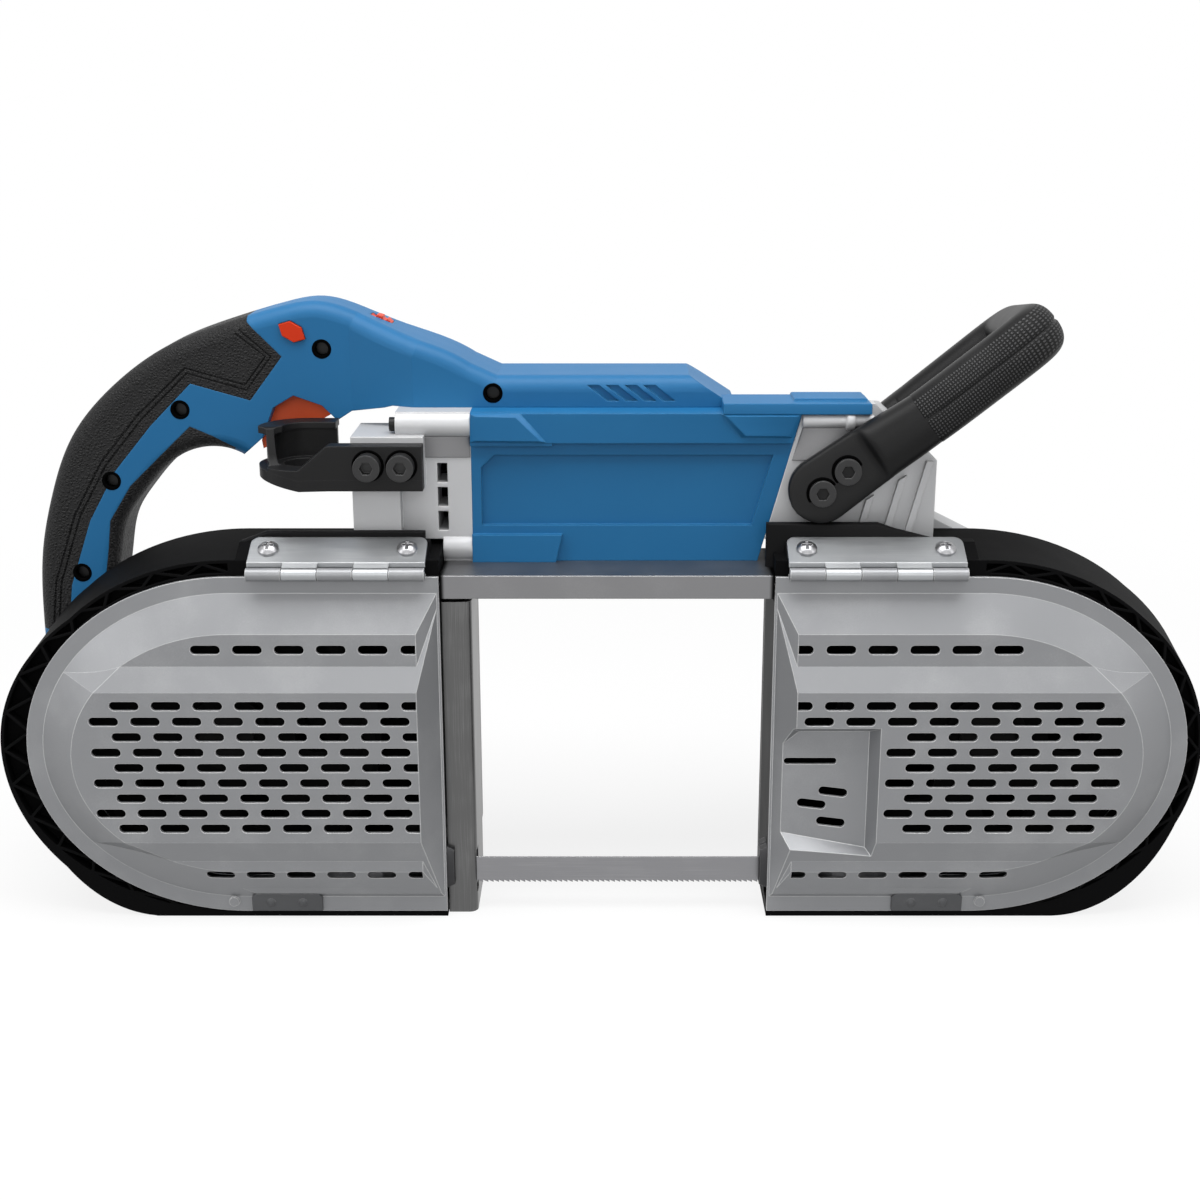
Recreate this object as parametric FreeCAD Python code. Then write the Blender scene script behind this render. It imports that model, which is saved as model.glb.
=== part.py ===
"""Portable deep-cut band saw, bare of its battery, as an assembly of separate solids.

Millimetres. X runs from the rear handle to the front handle, Y from the wheel covers
to the back of the saw, Z up. The guards stand on Z = 0. While the pieces are built,
Y = 0 is the middle of the band's wheels; save() moves each piece so that the origin
lies below the middle of the whole saw.
"""
import FreeCAD, Part
import math
import os

# Degrees in a whole turn
full_turn = 360.0
# Cuts run this far past the faces that they open
overrun = 2.0
# Running clearances: round fits, sliding faces, faces that only pass each other
running_fit = 0.05
slide_gap = 0.3
pass_gap = 0.6

# Band and wheels
band_length = 1140.0
band_width = 13.0
band_thickness = 0.6
band_gap = 0.3
cut_height = 20.7
tooth_pitch = 2.5
tooth_depth = 1.1
twist_start = 16.0
twist_end_x = 96.0
twist_steps = 6
wheel_radius = 70.3
tyre_thickness = 3.0
rim_thickness = 5.0
rim_half_width = 7.0
wheel_web = 4.0
hub_radius = 18.0
hub_back = 10.0
wheel_hole_radius = 11.0
wheel_hole_count = 5
shaft_radius = 8.0
nut_radius = 12.5
nut_thickness = 3.5
wheel_bearing_radius = 13.0
wheel_bearing_width = 6.0

# Guards: decks, bumpers and covers share one outline with an elliptic outer end
guard_centre_x = 168.9
guard_centre_z = 83.5
throat_half = 75.0
deck_front = -7.2
deck_back = 43.0
deck_reach = 94.5
deck_rise = 83.0
deck_drop = 80.0
deck_wall = 2.5
deck_back_wall = 3.0
bumper_front_reach = 101.5
bumper_front_rise = 90.3
bumper_back_reach = 108.5
bumper_back_rise = 92.6
bumper_end_back_reach = 112.0
bumper_end_front_reach = 104.0
bumper_rear_end_front_reach = 109.3
bumper_end_drop = 91.0
bumper_kink_angle = 44.0
bumper_foot_x = 208.6
bumper_wall = 1.5
bumper_pocket_depth = 6.0
bumper_rib = 1.2
bumper_rib_count = 30
cover_reach = 96.7
cover_sheet = 1.5
cover_gap = 0.3
cover_flange = 7.5
cover_slope = 16.5
cover_mid_height = 9.0
cover_field_height = 13.0
cover_inner_slope = 10.0
field_top = 116.5
field_bottom = 44.0
field_step = 11.0
facet_spread = 30
slot_length = 13.3
slot_height = 4.2
slot_pitch_x = 18.65
slot_pitch_z = 7.4
slot_fold_x = 85.3
slot_first_x = 88.4
slot_rows = 9
slot_columns = 7
pocket_floor_height = 5.5
pocket_wall = 4.0
pocket_low_inner = 47.5
pocket_low_outer = 38.5
pocket_high = 95.6
pocket_outer_x = 119.0
pocket_clip_x = 87.0
pocket_clip_z = 84.0
pocket_slit_x = 80.5
pocket_slit_length = 24.0
pocket_slit_z = 81.2
pocket_slit_height = 3.1
pocket_slots = ((96.8, 66.9), (87.1, 61.0), (96.2, 52.0))
pocket_slot_tilt = -7.0
rivet_radius = 2.4
rivet_height = 1.0
rivet_drop = 5.0
rivet_xs = (163.0, 175.0)
edge_row_columns = 5
edge_row_first_x = 97.6
edge_row_rise = 135.3
edge_row_drop = 25.6

# Frame bar over the throat and the plate behind the wheels
bar_front = -9.5
bar_bottom = 156.6
bar_top = 167.2
bar_wall = 2.6
bar_end_gap = 0.5
web_bottom = 150.0
plate_thickness = 5.0
plate_gap = 0.3
axle_boss_radius = 18.0
axle_boss_front = 12.5
plate_hole_radius = 15.0
plate_hole_distance = 46.0
plate_hole_angles = {1: (90.0, 210.0, 330.0), -1: (90.0, 270.0)}
shoe_lug_bottom = 32.0

# Hinges of the covers
hinge_y = -14.0
hinge_z = 169.0
hinge_radius = 3.0
hinge_pin_radius = 1.5
hinge_length = 79.0
hinge_start_x = 80.6
hinge_knuckles = 5
hinge_knuckle_gap = 0.3
hinge_sheet = 2.0
hinge_slope = 26.0
hinge_leaf_width = 21.0
hinge_corner = 4.0
hinge_screw_inset = 8.5
hinge_screw_radius = 4.6
hinge_screw_rim = 1.2
hinge_screw_crown = 2.0
hinge_screw_cross = 5.0
hinge_screw_cross_width = 1.4
hinge_screw_cross_depth = 1.4
hinge_screw_shank_radius = 2.0
hinge_screw_shank = 10.0
hinge_pad_margin = 6.0
hinge_pad_base = 3.0

# Motor and housings
spine_y = 60.0
motor_z = 200.0
housing_front = 17.0
casting_back = 103.0
housing_rear_x = -61.4
housing_top = 236.0
housing_slant_foot_x = 69.0
housing_slant_top_x = 87.8
housing_shoulder_y = 37.0
panel_depth = 2.5
panel_low = 184.0
panel_high = 216.5
panel_rear_x = -57.0
panel_front_low_x = 66.0
panel_front_high_x = 75.0
panel_corner = 6.0
rib_height = 3.0
top_rib_low = 221.0
top_rib_length = 34.0
foot_rib_high = 180.0
foot_rib_length = 38.0
stator_radius = 26.4
stator_bore = 14.0
stator_rear_x = -32.0
stator_front_x = 28.0
rotor_radius = 13.4
motor_shaft_radius = 4.0
motor_bearing_radius = 8.0
motor_bearing_width = 7.0
motor_cavity_front_x = 52.0
fan_radius = 21.5
fan_chamber_radius = 23.5
fan_width = 12.0
fan_hub_radius = 9.0
fan_blades = 9
fan_blade = 2.0
rear_casting_x = -95.0
fan_chamber_rear_x = -88.0
fan_rear_x = -84.0
screw_boss_inset = 6.0
vent_x = -74.5
vent_width = 4.6
vent_low = 181.6
vent_high = 212.8
vent_bars = 2
vent_bar = 2.2
vent_depth = 30.0
hook_block_x = -114.5
hook_block_low = 183.0
hook_block_high = 226.0
hook_block_front = 10.0
hook_block_back = 45.0
front_casting_end_x = 149.0
front_casting_clear_z = 177.5
front_casting_shoulder_z = 214.0
front_casting_shoulder_x = 120.0
front_casting_boss_high = 240.0
front_casting_roof_y = 25.0
front_casting_back_high = 226.5
casting_rib = 2.5
casting_rib_width = 3.0
casting_rib_xs = (122.0, 134.0, 144.0)

# Gear train from the motor to the drive wheel
spur_module = 2.0
cross_teeth = 16
large_teeth = 32
small_teeth = 16
final_teeth = 64
spur_addendum_share = 0.9
spur_dedendum_share = 1.2
spur_root_share = 0.8
spur_backlash = 0.45
pressure_angle = 20.0
bevel_module = 1.5
bevel_pinion_teeth = 12
bevel_gear_teeth = 36
bevel_face = 9.0
bevel_backing = 5.0
bevel_backlash_share = 0.14
cross_x = 112.0
gear_shaft_radius = 6.0
first_layer = (46.6, 52.6)
second_layer = (54.4, 62.4)
gear_case_front_wall = 3.0
gear_case_back = 64.5
gear_case_wall = 3.5
gear_cover = 3.0
gear_clearance = 1.5
cross_shaft_back = 86.0
bevel_room_radius = 28.0
bevel_room_front = 63.5
bevel_room_back = 80.0
pinion_room_radius = 12.0
gear_hole_radius = 11.0
gear_hole_distance = 38.0
gear_hole_count = 6

# Rear handle
handle_rear_x = -272.0
handle_front_x = -62.0
handle_low = 104.0
handle_high = 282.0
handle_half_width = 17.0
upper_near_width = 31.0
upper_top = 250.0
upper_step_x = -50.0
upper_under_low = 224.0
upper_under_inset = 8.0
widen_rear_x = -118.0
widen_front_x = -88.0
upper_low = 236.0
upper_rear_x = -98.0
upper_flat_x = 37.5
upper_end_x = 59.2
grip_skin = 3.0
handle_round = 7.0
handle_outer_shares = (
    (0.000, 0.000), (0.002, 0.170), (0.014, 0.343), (0.044, 0.483), (0.102, 0.646),
    (0.201, 0.779), (0.331, 0.885), (0.468, 0.947), (0.581, 0.986), (0.659, 1.000),
    (0.757, 0.968), (0.835, 0.931), (0.945, 0.885), (1.000, 0.851))
notch_shares = (
    (0.810, 0.735), (0.733, 0.719), (0.700, 0.694), (0.667, 0.733), (0.605, 0.759),
    (0.559, 0.727), (0.532, 0.647), (0.484, 0.598))
handle_inner_shares = (
    (0.484, 0.598), (0.422, 0.619), (0.360, 0.606), (0.252, 0.492), (0.214, 0.427),
    (0.190, 0.315), (0.175, 0.124), (0.238, 0.000))
rear_grip_shares = (
    (0.510, 1.100), (0.510, 0.949), (0.584, 0.860), (0.510, 0.746), (0.380, 0.790),
    (0.285, 0.678), (0.200, 0.559), (0.135, 0.425), (0.081, 0.247), (0.067, 0.124),
    (-0.100, 0.124), (-0.100, 1.100))
rear_grip_border_count = 10
grip_line_insets = (4.5, 7.0)
grip_line_width = 0.9
grip_line_depth = 0.7
inner_grip_shares = (
    (0.470, 0.620), (0.423, 0.652), (0.373, 0.678), (0.302, 0.599), (0.231, 0.519),
    (0.180, 0.425), (0.170, 0.343), (0.138, 0.124), (0.260, 0.124), (0.260, 0.400),
    (0.440, 0.560))
handle_screw_shares = ((0.672, 0.880), (0.354, 0.722), (0.190, 0.533), (0.107, 0.283))
upper_screw_x = -51.8
upper_screw_z = 242.5
fin_count = 4
fin_rear_x = -9.0
fin_pitch = 8.5
fin_width = 5.5
fin_lean = 9.0
fin_low = 239.0
fin_high = 246.0
fin_depth = 1.6
handle_screw_radius = 3.2
handle_screw_head = 3.0
handle_screw_sink = 4.0
handle_screw_shank_radius = 1.8
handle_screw_reach = 8.0
trigger_half_width = 8.0
trigger_shares = (
    (0.525, 0.610), (0.585, 0.646), (0.640, 0.676), (0.678, 0.700), (0.685, 0.750),
    (0.640, 0.790), (0.575, 0.780), (0.540, 0.700), (0.522, 0.632))
trigger_room_shares = (
    (0.489, 0.560), (0.700, 0.640), (0.700, 0.800), (0.620, 0.840), (0.540, 0.830),
    (0.489, 0.690))
trigger_pin_share = (0.655, 0.740)
trigger_pin_radius = 2.0
switch_rear_x = -153.0
switch_front_x = -134.0
switch_low = 254.0
switch_high = 262.4
switch_half_width = 9.0
lock_x = -144.0
lock_z = 268.6
lock_length = 13.5
lock_height = 7.5
lock_tilt = -30.0
lock_proud = 1.4
lock_travel = 2.5
dial_x = -107.8
dial_z = 264.7
dial_radius = 10.0
dial_half_width = 4.0
dial_pin_radius = 2.0
dial_notches = 12
dial_notch_radius = 1.1
board_rear_x = -40.0
board_front_x = 24.0
board_half_width = 14.0
board_thickness = 1.6
board_low = 238.0
board_room = 7.0
dock_front_x = -206.0
dock_low = 78.0
dock_groove_low = 84.0
dock_groove_high = 91.0
dock_groove_depth = 5.0
dock_recess_depth = 3.0
dock_contact_count = 4
dock_contact = 1.6
dock_contact_length = 20.0

# Rafter hook
hook_low = 203.0
hook_high = 223.3
hook_end_x = -82.0
hook_bend_x = -137.0
hook_thickness = 8.0
hook_gap_width = 22.0
hook_tip_x = -124.0
hook_back_high = 232.5
hook_front_high = 218.0
hook_bolt_xs = (-106.0, -91.2)
hook_bolt_z = 214.5

# Front loop handle
leg_thickness = 15.0
leg_low_x = 99.0
leg_low_z = 204.0
leg_low_radius = 16.5
leg_high_radius = 15.5
leg_angle = 42.2
loop_start = 14.0
loop_straight = 78.0
loop_bend = 30.0
loop_skew_x = 23.0
loop_skew_z = -15.0
loop_offset = -8.0
loop_end_offset = -3.5
loop_half_height = 17.5
loop_end_half_height = 13.8
loop_half_depth = 11.0
loop_end_half_depth = 13.5
loop_grip_start = 50.0
loop_skin = 2.5
loop_bend_steps = 6
bolt_spacing = 14.8
leg_bolt_shares = (-0.25, 0.75)
bolt_head_radius = 6.0
bolt_head = 6.5
bolt_shank_radius = 3.5
bolt_reach = 14.0
bolt_socket_radius = 3.0
bolt_socket_depth = 3.5
bolt_socket_sides = 6
bolt_sink = 7.0
bolt_well_radius = 7.2

# Band guides and shoe
roller_radius = 3.4
roller_height = 9.0
roller_pin_radius = 1.4
roller_x = 82.0
thrust_x = 89.5
thrust_half_width = 3.5
guide_block_low = 36.5
guide_block_high = 50.0
guide_half_depth = 7.0
guide_outer_x = 94.0
thrust_cheek = 3.0
shoe_right_x = -61.2
shoe_sheet = 2.0
shoe_front = -3.0
shoe_high = 153.2
shoe_bend = 4.0
shoe_slot_low = 9.0
shoe_slot_high = 31.0
shoe_slot_back = 6.0
shoe_screw_zs = (60.0, 125.0)
shoe_screw_radius = 4.5
shoe_screw_head = 3.0
shoe_screw_shank_radius = 2.5

# Band tension: slide, lever and cam
slide_half_height = 15.0
slide_front = 23.0
slide_outer = 26.0
slide_inner = 30.0
slide_travel = 6.0
rail_height = 6.0
cam_radius = 19.5
cam_gap = 0.5
cam_sweep = 150.0
cam_rise_sweep = 40.0
cam_steps = 24
lever_shaft_radius = 6.0
lever_front = 44.0
lever_back = 52.0
lever_length = 62.0
lever_hub_radius = 11.0
lever_tip_radius = 8.0

# Sizes that follow from the ones above
band_radius = wheel_radius + band_gap + band_thickness / 2
wheel_x = (band_length / 2 - math.pi * band_radius) / 2
wheel_z = cut_height + band_radius
plate_back = deck_back - deck_back_wall
plate_front = plate_back - plate_thickness
flange_back = deck_front - cover_gap
flange_front = flange_back - cover_sheet
barrel_radius = motor_z - bar_top
handle_length = handle_front_x - handle_rear_x
handle_height = handle_high - handle_low
leg_front = housing_front - leg_thickness
leg_back = casting_back + leg_thickness
saw_front = flange_front - cover_field_height
loop_share = (loop_straight - loop_start) / (loop_straight + loop_bend - loop_start)
loop_depth = loop_half_depth + (loop_end_half_depth - loop_half_depth) * loop_share
saw_back = casting_back + leg_thickness / 2 + loop_depth
depth_centre = (saw_front + saw_back) / 2
large_radius = spur_module * large_teeth / 2
cross_radius = spur_module * cross_teeth / 2
small_radius = spur_module * small_teeth / 2
final_radius = spur_module * final_teeth / 2
cam_x = -(wheel_x - slide_inner - cam_radius - cam_gap)


def point(x, y, z):
    """A point or direction."""
    return FreeCAD.Vector(x, y, z)


def box(low, high):
    """Block between two opposite corners."""
    size = [b - a for a, b in zip(low, high)]
    return Part.makeBox(size[0], size[1], size[2], point(*low))


def rod_x(y, z, x0, x1, radius):
    """Round bar along X."""
    return Part.makeCylinder(radius, x1 - x0, point(x0, y, z), point(1, 0, 0))


def rod_y(x, z, y0, y1, radius):
    """Round bar along Y."""
    return Part.makeCylinder(radius, y1 - y0, point(x, y0, z), point(0, 1, 0))


def rod_z(x, y, z0, z1, radius):
    """Round bar along Z."""
    return Part.makeCylinder(radius, z1 - z0, point(x, y, z0), point(0, 0, 1))


def ring_y(x, z, y0, y1, outer, inner):
    """Round tube along Y."""
    return rod_y(x, z, y0, y1, outer).cut(rod_y(x, z, y0 - overrun, y1 + overrun, inner))


def face_of(corners):
    """Flat face inside a closed polygon."""
    return Part.Face(Part.makePolygon(list(corners) + [corners[0]]))


def slab_y(outline, y0, y1):
    """Plate with a polygon outline in X and Z."""
    face = face_of([point(x, y0, z) for x, z in outline])
    return face.extrude(point(0, y1 - y0, 0))


def slab_x(outline, x0, x1):
    """Bar with a polygon section in Y and Z."""
    face = face_of([point(x0, y, z) for y, z in outline])
    return face.extrude(point(x1 - x0, 0, 0))


def slab_z(outline, z0, z1):
    """Plate with a polygon outline in X and Y."""
    face = face_of([point(x, y, z0) for x, y in outline])
    return face.extrude(point(0, 0, z1 - z0))


def join(shapes):
    """One solid from overlapping pieces."""
    return shapes[0].multiFuse(list(shapes[1:])).removeSplitter()


def group(shapes):
    """Separate solids kept in one piece."""
    return Part.makeCompound(list(shapes))


def capsule_y(first, first_radius, second, second_radius, y0, y1):
    """Plate around two circles and the lines that touch both."""
    dx = second[0] - first[0]
    dz = second[1] - first[1]
    distance = math.hypot(dx, dz)
    heading = math.atan2(dz, dx)
    lean = math.acos((first_radius - second_radius) / distance)
    corners = []
    for sign in (1, -1):
        angle = heading + sign * lean
        ends = [(first, first_radius), (second, second_radius)]
        for centre, radius in ends[::sign]:
            corners.append((centre[0] + radius * math.cos(angle), centre[1] + radius * math.sin(angle)))
    ends = [rod_y(*first, y0, y1, first_radius), rod_y(*second, y0, y1, second_radius)]
    return join([slab_y(corners, y0, y1)] + ends)


def guard_wire(side, reach, rise, drop, inner_x, y):
    """Guard outline: straight throat side, level top and bottom, elliptic outer end."""
    centre_x = side * guard_centre_x
    centre = point(centre_x, y, guard_centre_z)
    tip = point(centre_x + side * reach, y, guard_centre_z)
    top = point(centre_x, y, guard_centre_z + rise)
    bottom = point(centre_x, y, guard_centre_z - drop)
    upper = Part.Ellipse(tip, top, centre).toShape(0, math.pi / 2)
    lower = Part.Ellipse(tip, bottom, centre).toShape(0, math.pi / 2)
    inner_low = point(side * inner_x, y, guard_centre_z - drop)
    inner_high = point(side * inner_x, y, guard_centre_z + rise)
    edges = [
        Part.makeLine(inner_low, bottom), lower, upper,
        Part.makeLine(top, inner_high), Part.makeLine(inner_high, inner_low)]
    return Part.Wire(Part.__sortEdges__(edges))


def guard_slab(side, reach, rise, drop, inner_x, y0, y1):
    """Plate with the guard's outline."""
    wire = guard_wire(side, reach, rise, drop, inner_x, y0)
    return Part.Face(wire).extrude(point(0, y1 - y0, 0))


def guard_loft(side, front, back, inner_xs, y0, y1):
    """Straight-sided form between two guard outlines, each (reach, rise, drop)."""
    wires = [guard_wire(side, *front, inner_xs[0], y0), guard_wire(side, *back, inner_xs[1], y1)]
    return Part.makeLoft(wires, True, True)


def save(name, shape):
    """Write one piece, moved to the saw's own frame."""
    shape.translated(point(0, -depth_centre, 0)).exportStep("parts/" + name + ".step")


def frame_plate(side):
    """Plate behind one wheel, with lightening holes round the axle."""
    fit = deck_wall + plate_gap
    outline = (deck_reach - fit, deck_rise - fit, deck_drop - fit)
    plate = guard_slab(side, *outline, throat_half, plate_front, plate_back)
    for angle in plate_hole_angles[side]:
        turn = math.radians(angle)
        hole_x = side * (wheel_x + plate_hole_distance * math.cos(turn))
        hole_z = wheel_z + plate_hole_distance * math.sin(turn)
        hole = rod_y(hole_x, hole_z, plate_front - overrun, plate_back + overrun, plate_hole_radius)
        plate = plate.cut(hole)
    return plate


def main_frame():
    """Cast frame: two wheel plates joined by the channel over the throat."""
    end_x = throat_half - bar_end_gap
    channel = [
        box((-throat_half, plate_front, web_bottom), (throat_half, plate_back, bar_top)),
        box((-end_x, bar_front, bar_top - bar_wall), (end_x, plate_back, bar_top)),
        box((-end_x, bar_front, bar_bottom), (end_x, bar_front + bar_wall, bar_top)),
        box(
            (-throat_half - shoe_bend, plate_front, shoe_lug_bottom),
            (shoe_right_x, plate_back, web_bottom + overrun)),
    ]
    boss = rod_y(wheel_x, wheel_z, axle_boss_front, plate_back, axle_boss_radius)
    rails = []
    for sign in (1, -1):
        near = wheel_z + sign * (slide_half_height + slide_gap)
        far = near + sign * rail_height
        low = (-wheel_x - slide_outer, slide_front, min(near, far))
        rails.append(box(low, (-wheel_x + slide_inner, plate_back, max(near, far))))
    frame = join([frame_plate(-1), frame_plate(1), boss] + channel + rails)
    seat_ends = (axle_boss_front - overrun, plate_back + overrun)
    frame = frame.cut(rod_y(wheel_x, wheel_z, *seat_ends, bearing_seat_radius()))
    frame = frame.cut(rod_y(cam_x, wheel_z, 0, plate_back + overrun, lever_shaft_radius + running_fit))
    for screw_z in shoe_screw_zs:
        frame = frame.cut(shoe_screw(screw_z))
    return frame


def bearing_seat_radius():
    """Seat of the drive shaft's bearings in the frame."""
    return axle_boss_radius - deck_wall - running_fit


def deck(side):
    """Wheel housing: rim wall, back wall and throat wall, open to the cover."""
    outer = guard_slab(side, deck_reach, deck_rise, deck_drop, throat_half, deck_front, deck_back)
    room = guard_slab(
        side, deck_reach - deck_wall, deck_rise - deck_wall, deck_drop - deck_wall,
        throat_half + deck_wall, deck_front - overrun, plate_back)
    shell = outer.cut(room)
    wall = sorted((side * (throat_half - overrun), side * (throat_half + deck_wall + overrun)))
    room_low = guard_centre_z - deck_drop + deck_wall
    room_high = guard_centre_z + deck_rise - deck_wall
    band_reach = band_width / 2 + pass_gap
    exits = [
        ((plate_front - plate_gap, plate_back), (room_low, room_high)),
        ((deck_front - overrun, band_reach), (room_low, cut_height + band_reach + pass_gap)),
        ((deck_front - overrun, band_reach + pass_gap), (bar_bottom - bar_wall, room_high)),
    ]
    for (y0, y1), (z0, z1) in exits:
        shell = shell.cut(box((wall[0], y0, z0), (wall[1], y1, z1)))
    if side > 0:
        return shell.cut(rod_y(wheel_x, wheel_z, 0, deck_back + overrun, shaft_radius + pass_gap))
    return shell.cut(rod_y(cam_x, wheel_z, 0, deck_back + overrun, lever_shaft_radius + pass_gap))


def bumper_wire(side, reach, rise, y):
    """Bumper outline: like the guard's, but with a level foot that runs further out."""
    centre_x = side * guard_centre_x
    foot_x = side * bumper_foot_x
    tip = point(centre_x + side * reach, y, guard_centre_z)
    top = point(centre_x, y, guard_centre_z + rise)
    foot = point(foot_x, y, 0)
    inner_low = point(side * throat_half, y, 0)
    inner_high = point(side * throat_half, y, guard_centre_z + rise)
    upper = Part.Ellipse(tip, top, point(centre_x, y, guard_centre_z)).toShape(0, math.pi / 2)
    lower = Part.Ellipse(foot, tip, point(foot_x, y, guard_centre_z)).toShape(0, math.pi / 2)
    edges = [
        Part.makeLine(inner_low, foot), lower, upper,
        Part.makeLine(top, inner_high), Part.makeLine(inner_high, inner_low)]
    return Part.Wire(Part.__sortEdges__(edges))


def bumper_end_rise(reach, rise, end_reach):
    """Rise of the thicker end's outline, so that it leaves the wrap's outline at the kink."""
    turn = math.radians(bumper_kink_angle)
    across = reach * math.cos(turn) / end_reach
    return rise * math.sin(turn) / math.sqrt(1 - across * across)


def bumper_pockets(side, end_reach):
    """Row of three-cornered pockets in the bumper's front edge, with zigzag ribs left between them."""
    wall = bumper_wall
    inner = (deck_reach + wall, deck_rise + wall, deck_drop + wall)
    drop = guard_centre_z - wall
    end_rise = bumper_end_rise(bumper_front_reach, bumper_front_rise, end_reach)
    y0 = deck_front - overrun
    y1 = deck_front + bumper_pocket_depth
    ring = join([
        guard_slab(side, bumper_front_reach - wall, bumper_front_rise - wall, drop, 0, y0, y1),
        guard_slab(side, end_reach - wall, end_rise - wall, drop, 0, y0, y1)])
    ring = ring.cut(guard_slab(side, *inner, 0, y0 - overrun, y1 + overrun))
    ends = sorted((side * guard_centre_x, side * (guard_centre_x + end_reach)))
    ring = ring.common(box((ends[0], y0, 0), (ends[1], y1, 2 * guard_centre_z + deck_rise)))
    outer = (end_reach - wall, bumper_front_rise - wall, drop)
    bars = []
    for index in range(bumper_rib_count):
        rims = (inner, outer) if index % 2 == 0 else (outer, inner)
        places = []
        for step, rim in zip((index, index + 1), rims):
            angle = math.pi * (step / bumper_rib_count - 1 / 2)
            tall = rim[1] if angle > 0 else rim[2]
            x = side * (guard_centre_x + rim[0] * math.cos(angle))
            places.append((x, guard_centre_z + tall * math.sin(angle)))
        bars.append(bar_between(places[0], places[1], bumper_rib, y0, y1))
    least = bumper_rib * bumper_wall * bumper_pocket_depth
    return group([pocket for pocket in ring.cut(join(bars)).Solids if pocket.Volume > least])


def bar_between(start, end, width, y0, y1):
    """Straight rib between two places in X and Z, run a little past both."""
    dx = end[0] - start[0]
    dz = end[1] - start[1]
    length = math.hypot(dx, dz)
    along = (dx / length * width, dz / length * width)
    aside = (-dz / length * width / 2, dx / length * width / 2)
    first = (start[0] - along[0], start[1] - along[1])
    last = (end[0] + along[0], end[1] + along[1])
    corners = [
        (first[0] + aside[0], first[1] + aside[1]), (last[0] + aside[0], last[1] + aside[1]),
        (last[0] - aside[0], last[1] - aside[1]), (first[0] - aside[0], first[1] - aside[1])]
    return slab_y(corners, y0, y1)


def bumper(side, end_reach):
    """Black wrap round one deck, thicker round its outer end, with a pad under the hinge."""
    front_wire = bumper_wire(side, bumper_front_reach, bumper_front_rise, deck_front)
    back_wire = bumper_wire(side, bumper_back_reach, bumper_back_rise, deck_back)
    wrap = Part.makeLoft([front_wire, back_wire], True, True)
    front_rise = bumper_end_rise(bumper_front_reach, bumper_front_rise, end_reach)
    back_rise = bumper_end_rise(bumper_back_reach, bumper_back_rise, bumper_end_back_reach)
    end_front = (end_reach, front_rise, bumper_end_drop)
    end_back = (bumper_end_back_reach, back_rise, bumper_end_drop)
    end = guard_loft(side, end_front, end_back, (throat_half, throat_half), deck_front, deck_back)
    ends = sorted((0, side * (guard_centre_x + 2 * bumper_end_back_reach)))
    top = guard_centre_z + bumper_back_rise
    end = end.common(box((ends[0], deck_front, 0), (ends[1], deck_back, top)))
    room = guard_slab(side, deck_reach, deck_rise, deck_drop, 0, deck_front - overrun, deck_back + overrun)
    wrap = join([wrap, end, hinge_pad(side)]).cut(room).cut(leaf_plate(side))
    wrap = wrap.cut(bumper_pockets(side, end_reach))
    for screw in hinge_screws(side):
        wrap = wrap.cut(screw)
    return wrap


def hinge_span(side):
    """The X range of one hinge, low end first."""
    return sorted((side * hinge_start_x, side * (hinge_start_x + hinge_length)))


def leaf_z(y):
    """Height of the fixed hinge leaf's lower face at a depth."""
    return hinge_z + hinge_radius - hinge_sheet + (y - hinge_y) * math.tan(math.radians(hinge_slope))


def leaf_back():
    """Depth of the fixed leaf's back edge."""
    return hinge_y + hinge_leaf_width * math.cos(math.radians(hinge_slope))


def hinge_pad(side):
    """Sloped pad on the bumper that carries the fixed hinge leaf."""
    low, high = hinge_span(side)
    back = leaf_back() + hinge_pad_margin
    base = guard_centre_z + deck_rise
    section = [
        (deck_front, base), (deck_front, leaf_z(deck_front)), (leaf_back(), leaf_z(leaf_back())),
        (back, leaf_z(leaf_back())), (back + hinge_pad_margin, base + hinge_pad_base),
        (back + hinge_pad_margin, base)]
    if side > 0:
        return slab_x(section, low - pass_gap, high + hinge_pad_margin)
    return slab_x(section, low - hinge_pad_margin, high + pass_gap)


def knuckle(side, index):
    """One rolled knuckle of a hinge, counted from the throat."""
    share = hinge_length / hinge_knuckles
    low = hinge_start_x + index * share + hinge_knuckle_gap / 2
    ends = sorted((side * low, side * (low + share - hinge_knuckle_gap)))
    return ends


def leaf_plate(side):
    """Sloped plate of the fixed leaf, with rounded back corners."""
    low, high = hinge_span(side)
    rise = hinge_sheet / math.cos(math.radians(hinge_slope))
    y0 = hinge_y + hinge_radius
    y1 = leaf_back()
    section = [(y0, leaf_z(y0)), (y1, leaf_z(y1)), (y1, leaf_z(y1) + rise), (y0, leaf_z(y0) + rise)]
    plate = slab_x(section, low, high)
    corners = [edge for edge in plate.Edges if abs(edge.CenterOfMass.y - leaf_back()) < running_fit
               and edge.BoundBox.XLength < running_fit]
    return plate.makeFillet(hinge_corner, corners)


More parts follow.
